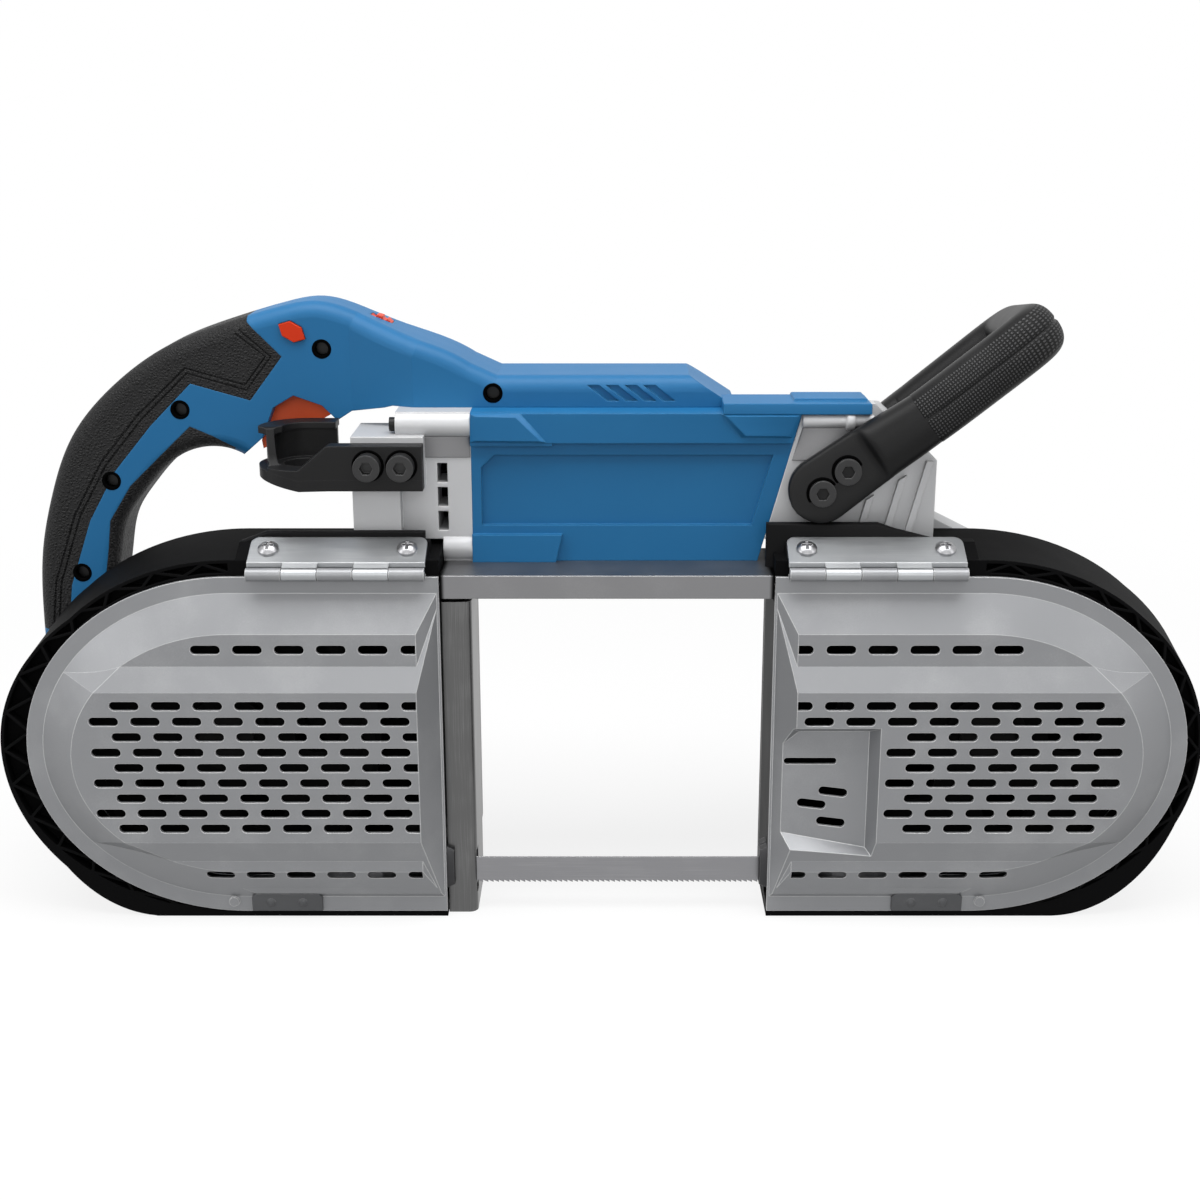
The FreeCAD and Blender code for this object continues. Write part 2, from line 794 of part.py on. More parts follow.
def hinge_leaf(side):
    """Fixed leaf: sloped plate with two rolled knuckles, drilled for two screws."""
    low, high = hinge_span(side)
    rise = hinge_sheet / math.cos(math.radians(hinge_slope))
    y0 = hinge_y + hinge_radius
    pieces = [leaf_plate(side)]
    for index in range(1, hinge_knuckles, 2):
        ends = knuckle(side, index)
        pieces.append(rod_x(hinge_y, hinge_z, ends[0], ends[1], hinge_radius))
        top = hinge_z + hinge_radius
        tab = [(hinge_y, top - hinge_sheet), (y0 + hinge_sheet, leaf_z(y0 + hinge_sheet)),
               (y0 + hinge_sheet, leaf_z(y0 + hinge_sheet) + rise), (hinge_y, top)]
        pieces.append(slab_x(tab, ends[0], ends[1]))
    leaf = join(pieces)
    leaf = leaf.cut(rod_x(hinge_y, hinge_z, low - overrun, high + overrun, hinge_pin_radius))
    for screw in hinge_screws(side):
        leaf = leaf.cut(screw)
    return leaf


def hinge_screw():
    """Upright pan-head screw: short rim, domed crown and a cross recess, seat at the origin."""
    top = hinge_screw_rim + hinge_screw_crown
    ball_radius = (hinge_screw_radius ** 2 + hinge_screw_crown ** 2) / (2 * hinge_screw_crown)
    head = rod_z(0, 0, 0, top, hinge_screw_radius)
    head = head.common(Part.makeSphere(ball_radius, point(0, 0, top - ball_radius)))
    low = top - hinge_screw_cross_depth
    long_half = hinge_screw_cross / 2
    slim_half = hinge_screw_cross_width / 2
    for across, deep in ((long_half, slim_half), (slim_half, long_half)):
        head = head.cut(box((-across, -deep, low), (across, deep, top + overrun)))
    return join([head, rod_z(0, 0, -hinge_screw_shank, 0, hinge_screw_shank_radius)])


def hinge_screws(side):
    """Two pan-head screws square to the sloped leaf."""
    low, high = hinge_span(side)
    y = (hinge_y + hinge_radius + leaf_back()) / 2
    seat_z = leaf_z(y) + hinge_sheet / math.cos(math.radians(hinge_slope))
    tilted = hinge_screw().rotated(point(0, 0, 0), point(1, 0, 0), hinge_slope)
    xs = (low + hinge_screw_inset, high - hinge_screw_inset)
    return [tilted.translated(point(x, y, seat_z)) for x in xs]


def hinge_pins():
    """One pin through the knuckles of each hinge."""
    pins = []
    for side in (-1, 1):
        low, high = hinge_span(side)
        pins.append(rod_x(hinge_y, hinge_z, low, high, hinge_pin_radius))
    return group(pins)


def cover_dome(side, height, slope, y):
    """Raised form of a cover: sloped from the flange up to a level face."""
    base = cover_flange
    top = cover_flange + slope
    shift = cover_reach - deck_reach
    front = (cover_reach - top, deck_rise - top, deck_drop - top)
    back = (cover_reach - base, deck_rise - base, deck_drop - base)
    inner_xs = (throat_half + cover_inner_slope, throat_half + shift / 2)
    return guard_loft(side, front, back, inner_xs, y - height, y)


def guide_pocket(side):
    """Sloped-wall pocket pressed in beside the throat, over the band guide."""
    floor = [
        (throat_half - overrun, pocket_low_inner), (pocket_outer_x, pocket_low_outer),
        (pocket_outer_x, pocket_high), (pocket_clip_x, pocket_high), (throat_half - overrun, pocket_clip_z)]
    grow = pocket_wall
    mouth = [
        (throat_half - overrun, pocket_low_inner - 2 * grow),
        (pocket_outer_x + grow, pocket_low_outer - grow),
        (pocket_outer_x + grow, pocket_high + grow), (pocket_clip_x - grow, pocket_high + grow),
        (throat_half - overrun, pocket_clip_z + 2 * grow)]
    floor_y = flange_front - pocket_floor_height
    mouth_y = flange_front - cover_field_height
    wires = []
    for outline, y in ((floor, floor_y), (mouth, mouth_y)):
        corners = [point(side * x, y, z) for x, z in outline]
        wires.append(Part.makePolygon(corners + corners[:1]))
    return Part.makeLoft(wires, True, True)


def outline_x(reach, height, z):
    """Distance from the saw's middle of an elliptic outline at a height."""
    share = (z - guard_centre_z) / height
    return guard_centre_x + reach * math.sqrt(1 - share * share)


def beyond_plane(corners, sign):
    """Thick slab on one side of the plane through three corners: above it for 1, below it for -1."""
    middle = (corners[0] + corners[1] + corners[2]) / len(corners)
    wide = [middle + (corner - middle) * facet_spread for corner in corners]
    normal = (corners[1] - corners[0]).cross(corners[2] - corners[0])
    normal.normalize()
    if normal.z * sign < 0:
        normal = -normal
    return Part.Face(Part.makePolygon(wide + wide[:1])).extrude(normal * cover_reach)


def field_facets(side):
    """Slabs that end the raised field's two steps in short facets running out to the flange."""
    inset = cover_flange + cover_slope
    facets = []
    for edge, sign, height in ((field_top, 1, deck_rise), (field_bottom, -1, deck_drop)):
        step_z = edge + sign * field_step
        rim_z = (edge + step_z) / 2
        field_x = outline_x(cover_reach - inset, height - inset, edge)
        mid_x = outline_x(cover_reach - inset, height - inset, step_z)
        rim_x = outline_x(cover_reach - cover_flange, height - cover_flange, rim_z)
        corners = [
            point(side * field_x, flange_front - cover_field_height, edge),
            point(side * mid_x, flange_front - cover_mid_height, step_z),
            point(side * rim_x, flange_front, rim_z)]
        facets.append(beyond_plane(corners, sign))
    return facets


def cover_form(side):
    """Outer form of a cover before it is hollowed: flange, slope, level face and raised field."""
    flange = guard_slab(side, cover_reach, deck_rise, deck_drop, throat_half, flange_front, flange_back)
    mid = cover_dome(side, cover_mid_height, cover_slope, flange_front)
    field = cover_dome(side, cover_field_height, cover_slope, flange_front)
    mid_y = flange_front - cover_mid_height
    field_y = flange_front - cover_field_height
    rate = field_step / (cover_field_height - cover_mid_height)
    base_step = field_step + cover_mid_height * rate
    section = [
        (field_y, field_bottom), (field_y, field_top), (mid_y, field_top + field_step),
        (flange_front, field_top + base_step), (flange_front, field_bottom - base_step),
        (mid_y, field_bottom - field_step)]
    ends = sorted((0, side * (guard_centre_x + cover_reach)))
    field = field.common(slab_x(section, ends[0], ends[1]))
    for facet in field_facets(side):
        field = field.cut(facet)
    raised = join([mid, field])
    if side > 0:
        raised = raised.cut(guide_pocket(side))
    return flange, raised


def slot_cutter(side, x, z, length, height, square_inner=False):
    """Round-ended slot through the cover; one that the fold cuts has a square inner end."""
    y0 = flange_front - cover_field_height - overrun
    radius = height / 2
    first = x + radius
    last = x + length - radius
    ends = sorted((side * (x if square_inner else first), side * last))
    pieces = [box((ends[0], y0, z - radius), (ends[1], deck_front, z + radius))]
    pieces.append(rod_y(side * last, z, y0, deck_front, radius))
    if not square_inner:
        pieces.append(rod_y(side * first, z, y0, deck_front, radius))
    return join(pieces)


def row_slots(side, row):
    """One staggered row of slots: x of each, with the half slot at the fold first."""
    z = field_top - slot_height - slot_height / 2 - row * slot_pitch_z
    shifted = row % 2 == 1
    first = slot_first_x if shifted else slot_fold_x + slot_pitch_x - slot_length / 2
    xs = [first + column * slot_pitch_x for column in range(slot_columns + shifted)]
    in_pocket = side > 0 and z < pocket_high + pocket_wall
    clear_x = pocket_outer_x + pocket_wall if in_pocket else slot_fold_x
    slots = [slot_cutter(side, x, z, slot_length, slot_height) for x in xs if x > clear_x]
    if not shifted and not in_pocket:
        slots.append(slot_cutter(side, slot_fold_x, z, slot_length / 2, slot_height, True))
    return slots


def cover_slots(side):
    """All slots of a cover: field rows, one row above and below it, and those in the pocket."""
    slots = []
    for row in range(slot_rows):
        slots += row_slots(side, row)
    for z in (edge_row_rise, edge_row_drop):
        slots.append(slot_cutter(side, slot_fold_x, z, slot_length / 2, slot_height, True))
        for column in range(edge_row_columns):
            x = edge_row_first_x + column * slot_pitch_x
            slots.append(slot_cutter(side, x, z, slot_length, slot_height))
    if side > 0:
        slots.append(slot_cutter(side, pocket_slit_x, pocket_slit_z, pocket_slit_length, pocket_slit_height))
        for x, z in pocket_slots:
            slot = slot_cutter(side, x, z, slot_length, slot_height)
            slot.rotate(point(x, 0, z), point(0, -1, 0), pocket_slot_tilt)
            slots.append(slot)
    return slots


def cover(side):
    """Pressed cover sheet with its slots and the knuckles rolled from its top edge."""
    flange, raised = cover_form(side)
    outer = join([flange, raised])
    sheet = outer.cut(raised.translated(point(0, cover_sheet, 0)))
    sheet = sheet.cut(group(cover_slots(side)))
    top = guard_centre_z + deck_rise
    pieces = [sheet]
    for index in range(0, hinge_knuckles, 2):
        ends = knuckle(side, index)
        pieces.append(rod_x(hinge_y, hinge_z, ends[0], ends[1], hinge_radius))
        low_z = hinge_z - hinge_radius
        pieces.append(box((ends[0], hinge_y, low_z), (ends[1], flange_back, low_z + cover_sheet)))
        lug_low = (ends[0], flange_front, top - cover_sheet)
        pieces.append(box(lug_low, (ends[1], flange_back, low_z + cover_sheet)))
    rivet_z = guard_centre_z - deck_drop + rivet_drop
    for x in rivet_xs:
        pieces.append(rod_y(side * x, rivet_z, flange_front - rivet_height, flange_back, rivet_radius))
    bored = join(pieces)
    low, high = hinge_span(side)
    return bored.cut(rod_x(hinge_y, hinge_z, low - overrun, high + overrun, hinge_pin_radius + running_fit))


def wheel(side, bore):
    """Spoked wheel: rim, web with round holes and hub."""
    x = side * wheel_x
    rim_outer = wheel_radius - tyre_thickness
    rim = ring_y(x, wheel_z, -rim_half_width, rim_half_width, rim_outer, rim_outer - rim_thickness)
    web = rod_y(x, wheel_z, -wheel_web / 2, wheel_web / 2, rim_outer - rim_thickness / 2)
    for index in range(wheel_hole_count):
        angle = 2 * math.pi * index / wheel_hole_count
        distance = (rim_outer - rim_thickness + hub_radius) / 2
        hole = rod_y(x + distance * math.cos(angle), wheel_z + distance * math.sin(angle),
                     -rim_half_width, rim_half_width, wheel_hole_radius)
        web = web.cut(hole)
    hub = rod_y(x, wheel_z, -rim_half_width, hub_back, hub_radius)
    return join([rim, web, hub]).cut(rod_y(x, wheel_z, -rim_half_width - overrun, hub_back + overrun, bore))


def tyre(side):
    """Rubber tyre on the rim."""
    inner = wheel_radius - tyre_thickness
    return ring_y(side * wheel_x, wheel_z, -rim_half_width, rim_half_width, wheel_radius, inner)


def idler_bearings():
    """Two bearings in the idler wheel's hub."""
    rings = []
    for y in (-rim_half_width, hub_back - wheel_bearing_width):
        back = y + wheel_bearing_width
        rings.append(ring_y(-wheel_x, wheel_z, y, back, wheel_bearing_radius, shaft_radius + running_fit))
    return group(rings)


def idler_axle():
    """Axle of the idler wheel, with the nut that keeps the wheel on."""
    nut_back = -rim_half_width - slide_gap
    nut = rod_y(-wheel_x, wheel_z, nut_back - nut_thickness, nut_back, nut_radius)
    axle = rod_y(-wheel_x, wheel_z, nut_back - nut_thickness, plate_front - slide_gap, shaft_radius)
    return join([nut, axle])


def drive_shaft():
    """Shaft of the drive wheel, from its nut to the final gear."""
    nut = rod_y(wheel_x, wheel_z, -rim_half_width - nut_thickness, -rim_half_width, nut_radius)
    front = -rim_half_width - nut_thickness
    return join([nut, rod_y(wheel_x, wheel_z, front, gear_case_back + gear_cover, shaft_radius)])


def shaft_bearings():
    """Bearings of the drive shaft and of the motor."""
    rings = []
    for y in (axle_boss_front + gear_clearance, plate_back - wheel_bearing_width):
        back = y + wheel_bearing_width
        rings.append(ring_y(wheel_x, wheel_z, y, back, bearing_seat_radius(), shaft_radius + running_fit))
    for x in motor_bearing_xs():
        ring = rod_x(spine_y, motor_z, x, x + motor_bearing_width, motor_bearing_radius)
        bore_ends = (x - overrun, x + motor_bearing_width + overrun)
        bore = rod_x(spine_y, motor_z, *bore_ends, motor_shaft_radius + running_fit)
        rings.append(ring.cut(bore))
    return group(rings)


def motor_bearing_xs():
    """Rear faces of the two motor bearings."""
    return (fan_chamber_rear_x - motor_bearing_width + overrun, motor_cavity_front_x)


def band_section(x, turn):
    """Section of the band at one place, turned about X from flat on the wheel."""
    across = (math.cos(turn) * band_width / 2, math.sin(turn) * band_width / 2)
    through = (-math.sin(turn) * band_thickness / 2, math.cos(turn) * band_thickness / 2)
    corners = []
    for a, b in ((-1, -1), (1, -1), (1, 1), (-1, 1)):
        corners.append(point(x, a * across[0] + b * through[0], cut_height + a * across[1] + b * through[1]))
    return Part.makePolygon(corners + corners[:1])


def band():
    """Closed saw band: round both wheels, through the bar, and twisted to stand in the cut."""
    outer = band_radius + band_thickness / 2
    inner = band_radius - band_thickness / 2
    half = band_width / 2
    pieces = []
    for side in (-1, 1):
        ring = ring_y(side * wheel_x, wheel_z, -half, half, outer, inner)
        ends = sorted((side * wheel_x, side * (wheel_x + 2 * outer)))
        pieces.append(ring.common(box((ends[0], -half, 0), (ends[1], half, wheel_z + 2 * outer))))
        straight = sorted((side * wheel_x, side * (wheel_x - twist_start)))
        low = wheel_z - outer
        pieces.append(box((straight[0], -half, low), (straight[1], half, low + band_thickness)))
        start = wheel_x - twist_start
        sections = []
        for step in range(twist_steps + 1):
            share = step / twist_steps
            x = side * (start + (twist_end_x - start) * share)
            sections.append(band_section(x, share * math.pi / 2))
        pieces.append(Part.makeLoft(sections, True, True))
    top = wheel_z + inner
    pieces.append(box((-wheel_x, -half, top), (wheel_x, half, top + band_thickness)))
    count = int(2 * (throat_half + shoe_bend) / tooth_pitch)
    toothed = count * tooth_pitch / 2
    back = cut_height + half
    front = cut_height - half
    outline = [(-twist_end_x, back), (-twist_end_x, front), (-toothed, front)]
    for index in range(count):
        x = -toothed + index * tooth_pitch
        outline.append((x, front + tooth_depth))
        outline.append((x + tooth_pitch, front))
    outline += [(twist_end_x, front), (twist_end_x, back)]
    pieces.append(slab_y(outline, -band_thickness / 2, band_thickness / 2))
    return join(pieces)


def guide_bracket(side):
    """Block that hangs the guide rollers over the band, screwed to the throat wall."""
    wall = throat_half + deck_wall
    ends = sorted((side * wall, side * guide_outer_x))
    block = box((ends[0], -guide_half_depth, guide_block_low), (ends[1], guide_half_depth, guide_block_high))
    pieces = [block]
    stud_low = cut_height - roller_height / 2
    for y in (-roller_offset(), roller_offset()):
        pieces.append(rod_z(side * roller_x, y, stud_low, guide_block_high, roller_pin_radius))
        collar_low = stud_low + roller_height + slide_gap
        collar_radius = roller_pin_radius + roller_pin_radius / 2
        pieces.append(rod_z(side * roller_x, y, collar_low, guide_block_high, collar_radius))
    pin_z = thrust_z()
    inner_y = thrust_half_width + slide_gap
    cheek_ends = sorted((side * (thrust_x - roller_pin_radius * 2), side * guide_outer_x))
    for sign in (-1, 1):
        ys = sorted((sign * inner_y, sign * (inner_y + thrust_cheek)))
        low_z = pin_z - roller_pin_radius * 2
        pieces.append(box((cheek_ends[0], ys[0], low_z), (cheek_ends[1], ys[1], guide_block_high)))
    pin_half = inner_y + thrust_cheek
    pieces.append(rod_y(side * thrust_x, pin_z, -pin_half, pin_half, roller_pin_radius))
    return join(pieces)


def roller_offset():
    """Distance from the band's middle to a side roller's axis."""
    return band_thickness / 2 + slide_gap + roller_radius


def thrust_z():
    """Height of the thrust rollers' axes over the band's back edge."""
    return cut_height + band_width / 2 + slide_gap + roller_radius


def side_roller(side, sign):
    """Roller beside the band, turning on an upright stud."""
    low = cut_height - roller_height / 2
    roller = rod_z(side * roller_x, sign * roller_offset(), low, low + roller_height, roller_radius)
    bore = roller_pin_radius + running_fit
    return roller.cut(rod_z(side * roller_x, sign * roller_offset(), 0, guide_block_low, bore))


def thrust_roller(side):
    """Roller behind the band's back edge, turning on a level pin."""
    bore = roller_pin_radius + running_fit
    return ring_y(side * thrust_x, thrust_z(), -thrust_half_width, thrust_half_width, roller_radius, bore)


def shoe():
    """Bent stop plate: face, rounded side with a slot for the band, and a back flange."""
    left = -throat_half + slide_gap
    outer = box((left, shoe_front, 0), (shoe_right_x, plate_front, shoe_high))
    room = box((left - overrun, shoe_front + shoe_sheet, -overrun),
               (shoe_right_x - shoe_sheet, plate_front - shoe_sheet, shoe_high + overrun))
    bend = [edge for edge in outer.Edges if edge.BoundBox.ZLength > shoe_high / 2
            and edge.CenterOfMass.x > left and edge.CenterOfMass.y < 0]
    inner_bend = [edge for edge in room.Edges if edge.BoundBox.ZLength > shoe_high / 2
                  and edge.CenterOfMass.x > left and edge.CenterOfMass.y < 0]
    plate = outer.makeFillet(shoe_bend, bend).cut(room.makeFillet(shoe_bend - shoe_sheet, inner_bend))
    slot = box((shoe_right_x - 2 * shoe_sheet, shoe_front + shoe_sheet + band_gap, shoe_slot_low),
               (shoe_right_x + overrun, shoe_slot_back, shoe_slot_high))
    plate = plate.cut(slot)
    low_cut = box((left - overrun, plate_front - shoe_sheet - overrun, -overrun),
                  (shoe_right_x - shoe_sheet, plate_front + overrun, shoe_lug_bottom))
    plate = plate.cut(low_cut)
    for screw_z in shoe_screw_zs:
        plate = plate.cut(shoe_screw(screw_z))
    return plate


def shoe_screw(z):
    """Screw that clamps the shoe to the frame's lug."""
    x = (-throat_half + shoe_right_x) / 2
    face = plate_front - shoe_sheet
    head = rod_y(x, z, face - shoe_screw_head, face, shoe_screw_radius)
    return join([head, rod_y(x, z, face - shoe_screw_head, plate_back, shoe_screw_shank_radius)])


def tension_slide():
    """Block that carries the idler axle and slides between the frame's rails."""
    low = (-wheel_x - slide_outer, slide_front, wheel_z - slide_half_height)
    high = (-wheel_x + slide_inner, plate_front - slide_gap, wheel_z + slide_half_height)
    return box(low, high).cut(rod_y(-wheel_x, wheel_z, 0, plate_back, shaft_radius))


def tension_lever():
    """Lever behind the deck with a snail cam that holds the slide outwards."""
    corners = []
    for step in range(cam_steps):
        angle = full_turn * step / cam_steps
        if angle <= cam_sweep:
            radius = cam_radius - slide_travel * angle / cam_sweep
        elif angle >= full_turn - cam_rise_sweep:
            radius = cam_radius - slide_travel * (full_turn - angle) / cam_rise_sweep
        else:
            radius = cam_radius - slide_travel
        turn = math.radians(angle)
        corners.append((cam_x - radius * math.cos(turn), wheel_z - radius * math.sin(turn)))
    cam = slab_y(corners, slide_front, plate_front - slide_gap)
    shaft = rod_y(cam_x, wheel_z, slide_front, lever_back, lever_shaft_radius)
    tip = (cam_x, wheel_z - lever_length)
    arm = capsule_y((cam_x, wheel_z), lever_hub_radius, tip, lever_tip_radius, lever_front, lever_back)
    return join([cam, shaft, arm])


def gear_profile(teeth, first_angle):
    """Outline of a spur gear: four points a tooth, with a tooth at the first angle."""
    pitch = spur_module * teeth / 2
    tip = pitch + spur_module * spur_addendum_share
    root = pitch - spur_module * spur_dedendum_share
    lean = math.tan(math.radians(pressure_angle))
    half = (math.pi * spur_module / 2 - spur_backlash) / 2
    tip_turn = (half - (tip - pitch) * lean) / tip
    root_turn = min(half + (pitch - root) * lean, math.pi * root / teeth * spur_root_share) / root
    corners = []
    for index in range(teeth):
        middle = first_angle + 2 * math.pi * index / teeth
        for radius, turn in ((root, -root_turn), (tip, -tip_turn), (tip, tip_turn), (root, root_turn)):
            corners.append((radius * math.cos(middle + turn), radius * math.sin(middle + turn)))
    return corners


def spur_gear(centre, teeth, layer, towards, tooth_there):
    """Spur gear with a tooth, or a gap, on the line towards its mate."""
    angle = math.atan2(towards[1] - centre[1], towards[0] - centre[0])
    if not tooth_there:
        angle += math.pi / teeth
    outline = [(centre[0] + x, centre[1] + z) for x, z in gear_profile(teeth, angle)]
    return slab_y(outline, layer[0], layer[1])


def cross_centre():
    """Axis of the cross shaft, level with the motor."""
    return (cross_x, motor_z)


def final_centre():
    """Axis of the drive wheel."""
    return (wheel_x, wheel_z)


def large_centre():
    """Axis of the gear pair between the cross shaft and the drive wheel."""
    cross = cross_centre()
    final = final_centre()
    span = math.hypot(cross[0] - final[0], cross[1] - final[1])
    low_arm = small_radius + final_radius
    high_arm = large_radius + cross_radius
    along = (low_arm ** 2 - high_arm ** 2 + span ** 2) / (2 * span)
    aside = math.sqrt(low_arm ** 2 - along ** 2)
    ux = (cross[0] - final[0]) / span
    uz = (cross[1] - final[1]) / span
    return (final[0] + along * ux - aside * uz, final[1] + along * uz + aside * ux)


def cross_shaft():
    """Cross shaft with its pinion cut in one piece."""
    x, z = cross_centre()
    pinion = spur_gear(cross_centre(), cross_teeth, first_layer, large_centre(), True)
    return join([pinion, rod_y(x, z, deck_back + slide_gap, cross_shaft_back, gear_shaft_radius)])


def intermediate_gear():
    """Large gear and small pinion on one shaft."""
    x, z = large_centre()
    large = spur_gear(large_centre(), large_teeth, first_layer, cross_centre(), False)
    small = spur_gear(large_centre(), small_teeth, second_layer, final_centre(), True)
    spacer = rod_y(x, z, first_layer[1], second_layer[0], small_radius / 2)
    shaft = rod_y(x, z, deck_back + slide_gap, gear_case_back + gear_cover, gear_shaft_radius)
    return join([large, small, spacer, shaft])


def final_gear():
    """Large gear on the drive shaft, lightened by a ring of holes."""
    x, z = final_centre()
    gear = spur_gear(final_centre(), final_teeth, second_layer, large_centre(), False)
    gear = gear.cut(rod_y(x, z, 0, gear_case_back, shaft_radius))
    for index in range(gear_hole_count):
        angle = 2 * math.pi * index / gear_hole_count
        hole_x = x + gear_hole_distance * math.cos(angle)
        hole_z = z + gear_hole_distance * math.sin(angle)
        gear = gear.cut(rod_y(hole_x, hole_z, 0, gear_case_back, gear_hole_radius))
    return gear


def bevel_teeth(teeth, mate_teeth, apex, axis, first, second, first_turn):
    """Straight bevel gear: a root cone with planar-sided teeth that run to the apex."""
    pitch = bevel_module * teeth / 2
    cone = math.atan2(teeth, mate_teeth)
    outer = pitch / math.sin(cone)
    inner_share = (outer - bevel_face) / outer
    tip_angle = cone + math.atan2(bevel_module * spur_addendum_share, outer)
    root_angle = cone - math.atan2(bevel_module * spur_dedendum_share, outer)
    sunk_angle = root_angle - math.atan2(bevel_module * spur_backlash, outer)
    half = math.pi / 2 / teeth * (1 - bevel_backlash_share)
    lean = math.tan(math.radians(pressure_angle)) * bevel_module / pitch
    turns = ((sunk_angle, half + lean), (tip_angle, half - lean * spur_addendum_share))

    def corner(angle, turn, share):
        reach = outer * share
        around = first * math.cos(turn) + second * math.sin(turn)
        return apex + axis * (reach * math.cos(angle)) + around * (reach * math.sin(angle))

    solids = []
    base_radius = outer * math.sin(root_angle)
    base = apex + axis * (outer * math.cos(root_angle))
    top_radius = base_radius * inner_share
    height = outer * math.cos(root_angle) * (1 - inner_share)
    solids.append(Part.makeCone(base_radius, top_radius, height, base, axis * -1))
    for tooth in range(teeth):
        middle = first_turn + 2 * math.pi * tooth / teeth
        rings = []
        for share in (1, inner_share):
            (low, wide), (high, narrow) = turns
            rings.append([
                corner(low, middle - wide, share), corner(high, middle - narrow, share),
                corner(high, middle + narrow, share), corner(low, middle + wide, share)])
        faces = [face_of(rings[0]), face_of(rings[1])]
        for index in range(len(rings[0])):
            outer_pair = [rings[0][index - 1], rings[0][index]]
            faces.append(face_of(outer_pair + [rings[1][index], rings[1][index - 1]]))
        solids.append(Part.Solid(Part.Shell(faces)))
    return solids, base, base_radius


def bevel_apex():
    """Point where the motor's axis meets the cross shaft's axis."""
    return point(cross_x, spine_y, motor_z)


def bevel_gear():
    """Bevel gear fixed on the cross shaft, behind the motor's pinion."""
    axis = point(0, 1, 0)
    turn = math.pi / bevel_gear_teeth
    solids, base, radius = bevel_teeth(
        bevel_gear_teeth, bevel_pinion_teeth, bevel_apex(), axis, point(-1, 0, 0), point(0, 0, 1), turn)
    backing = Part.makeCylinder(radius, bevel_backing, base, axis)
    bore = rod_y(cross_x, motor_z, 0, cross_shaft_back + overrun, gear_shaft_radius)
    return join([backing] + solids).cut(bore)


def motor_rotor():
    """Rotor core and shaft, with the bevel pinion cut on the shaft's end."""
    axis = point(-1, 0, 0)
    solids, base = bevel_teeth(
        bevel_pinion_teeth, bevel_gear_teeth, bevel_apex(), axis, point(0, 1, 0), point(0, 0, 1), 0)[:2]
    rear_x = motor_bearing_xs()[0]
    shaft = rod_x(spine_y, motor_z, rear_x, base.x, motor_shaft_radius)
    core = rod_x(spine_y, motor_z, stator_rear_x, stator_front_x, rotor_radius)
    return join([shaft, core] + solids)


def cooling_fan():
    """Radial fan on the rear end of the motor shaft."""
    front_x = fan_rear_x + fan_width
    hub = rod_x(spine_y, motor_z, fan_rear_x, front_x, fan_hub_radius)
    disc = rod_x(spine_y, motor_z, fan_rear_x, fan_rear_x + fan_blade, fan_radius)
    pieces = [hub, disc]
    for index in range(fan_blades):
        half = fan_blade / 2
        tip_z = motor_z + fan_radius - fan_blade
        blade = box((fan_rear_x, spine_y - half, motor_z), (front_x, spine_y + half, tip_z))
        blade.rotate(point(0, spine_y, motor_z), point(1, 0, 0), full_turn * index / fan_blades)
        pieces.append(blade)
    fan = join(pieces)
    return fan.cut(rod_x(spine_y, motor_z, fan_rear_x - overrun, front_x + overrun, motor_shaft_radius))


def motor_stator():
    """Wound stator pack pressed into the housing."""
    outer = rod_x(spine_y, motor_z, stator_rear_x, stator_front_x, stator_radius)
    return outer.cut(rod_x(spine_y, motor_z, stator_rear_x - overrun, stator_front_x + overrun, stator_bore))


def gear_case_form(back, shrink):
    """Outline of the gear case around the three gear axes, drawn in by a wall."""
    final_r = final_radius + spur_module + gear_clearance + gear_case_wall - shrink
    large_r = large_radius + spur_module + gear_clearance + gear_case_wall - shrink
    cross_r = cross_radius + spur_module + gear_clearance + gear_case_wall - shrink
    front = deck_back + (gear_case_front_wall if shrink else 0)
    lower = capsule_y(final_centre(), final_r, large_centre(), large_r, front, back)
    upper = capsule_y(large_centre(), large_r, cross_centre(), cross_r, front, min(back, gear_case_back))
    return lower, upper


def bevel_room():
    """Space swept by the bevel gears and the motor's pinion."""
    x, z = cross_centre()
    chamber = rod_y(x, z, bevel_room_front, bevel_room_back, bevel_room_radius)
    pinion = rod_x(spine_y, motor_z, motor_cavity_front_x, cross_x, pinion_room_radius)
    return chamber.fuse(pinion)


def gear_case():
    """Cast gear case behind the front deck, open at the back for its cover."""
    lower, upper = gear_case_form(gear_case_back, 0)
    low_room, high_room = gear_case_form(gear_case_back + overrun, gear_case_wall)
    case = join([lower, upper]).cut(low_room).cut(high_room.fuse(bevel_room()))
    shafts = [
        rod_y(*final_centre(), 0, gear_case_back, shaft_radius + pass_gap),
        rod_y(*large_centre(), 0, gear_case_back, gear_shaft_radius + running_fit),
        rod_y(*cross_centre(), 0, gear_case_back, gear_shaft_radius + running_fit)]
    for shaft in shafts:
        case = case.cut(shaft)
    return case


def gear_case_cover():
    """Plate over the gear case's lower part, with bosses for two shafts."""
    cover_back = gear_case_back + gear_cover
    lower = gear_case_form(cover_back, 0)[0]
    plate = lower.common(box((0, gear_case_back, 0), (guard_centre_x * 2, cover_back, motor_z * 2)))
    plate = plate.cut(bevel_room())
    plate = plate.cut(rod_y(*final_centre(), 0, cover_back + gear_cover, shaft_radius + running_fit))
    bore_radius = gear_shaft_radius + running_fit
    return plate.cut(rod_y(*large_centre(), 0, cover_back + gear_cover, bore_radius))


def housing_outline():
    """Side view of the motor housing, with its slanted front end."""
    return [
        (housing_rear_x, bar_top), (housing_slant_foot_x, bar_top),
        (housing_slant_top_x, housing_top), (housing_rear_x, housing_top)]


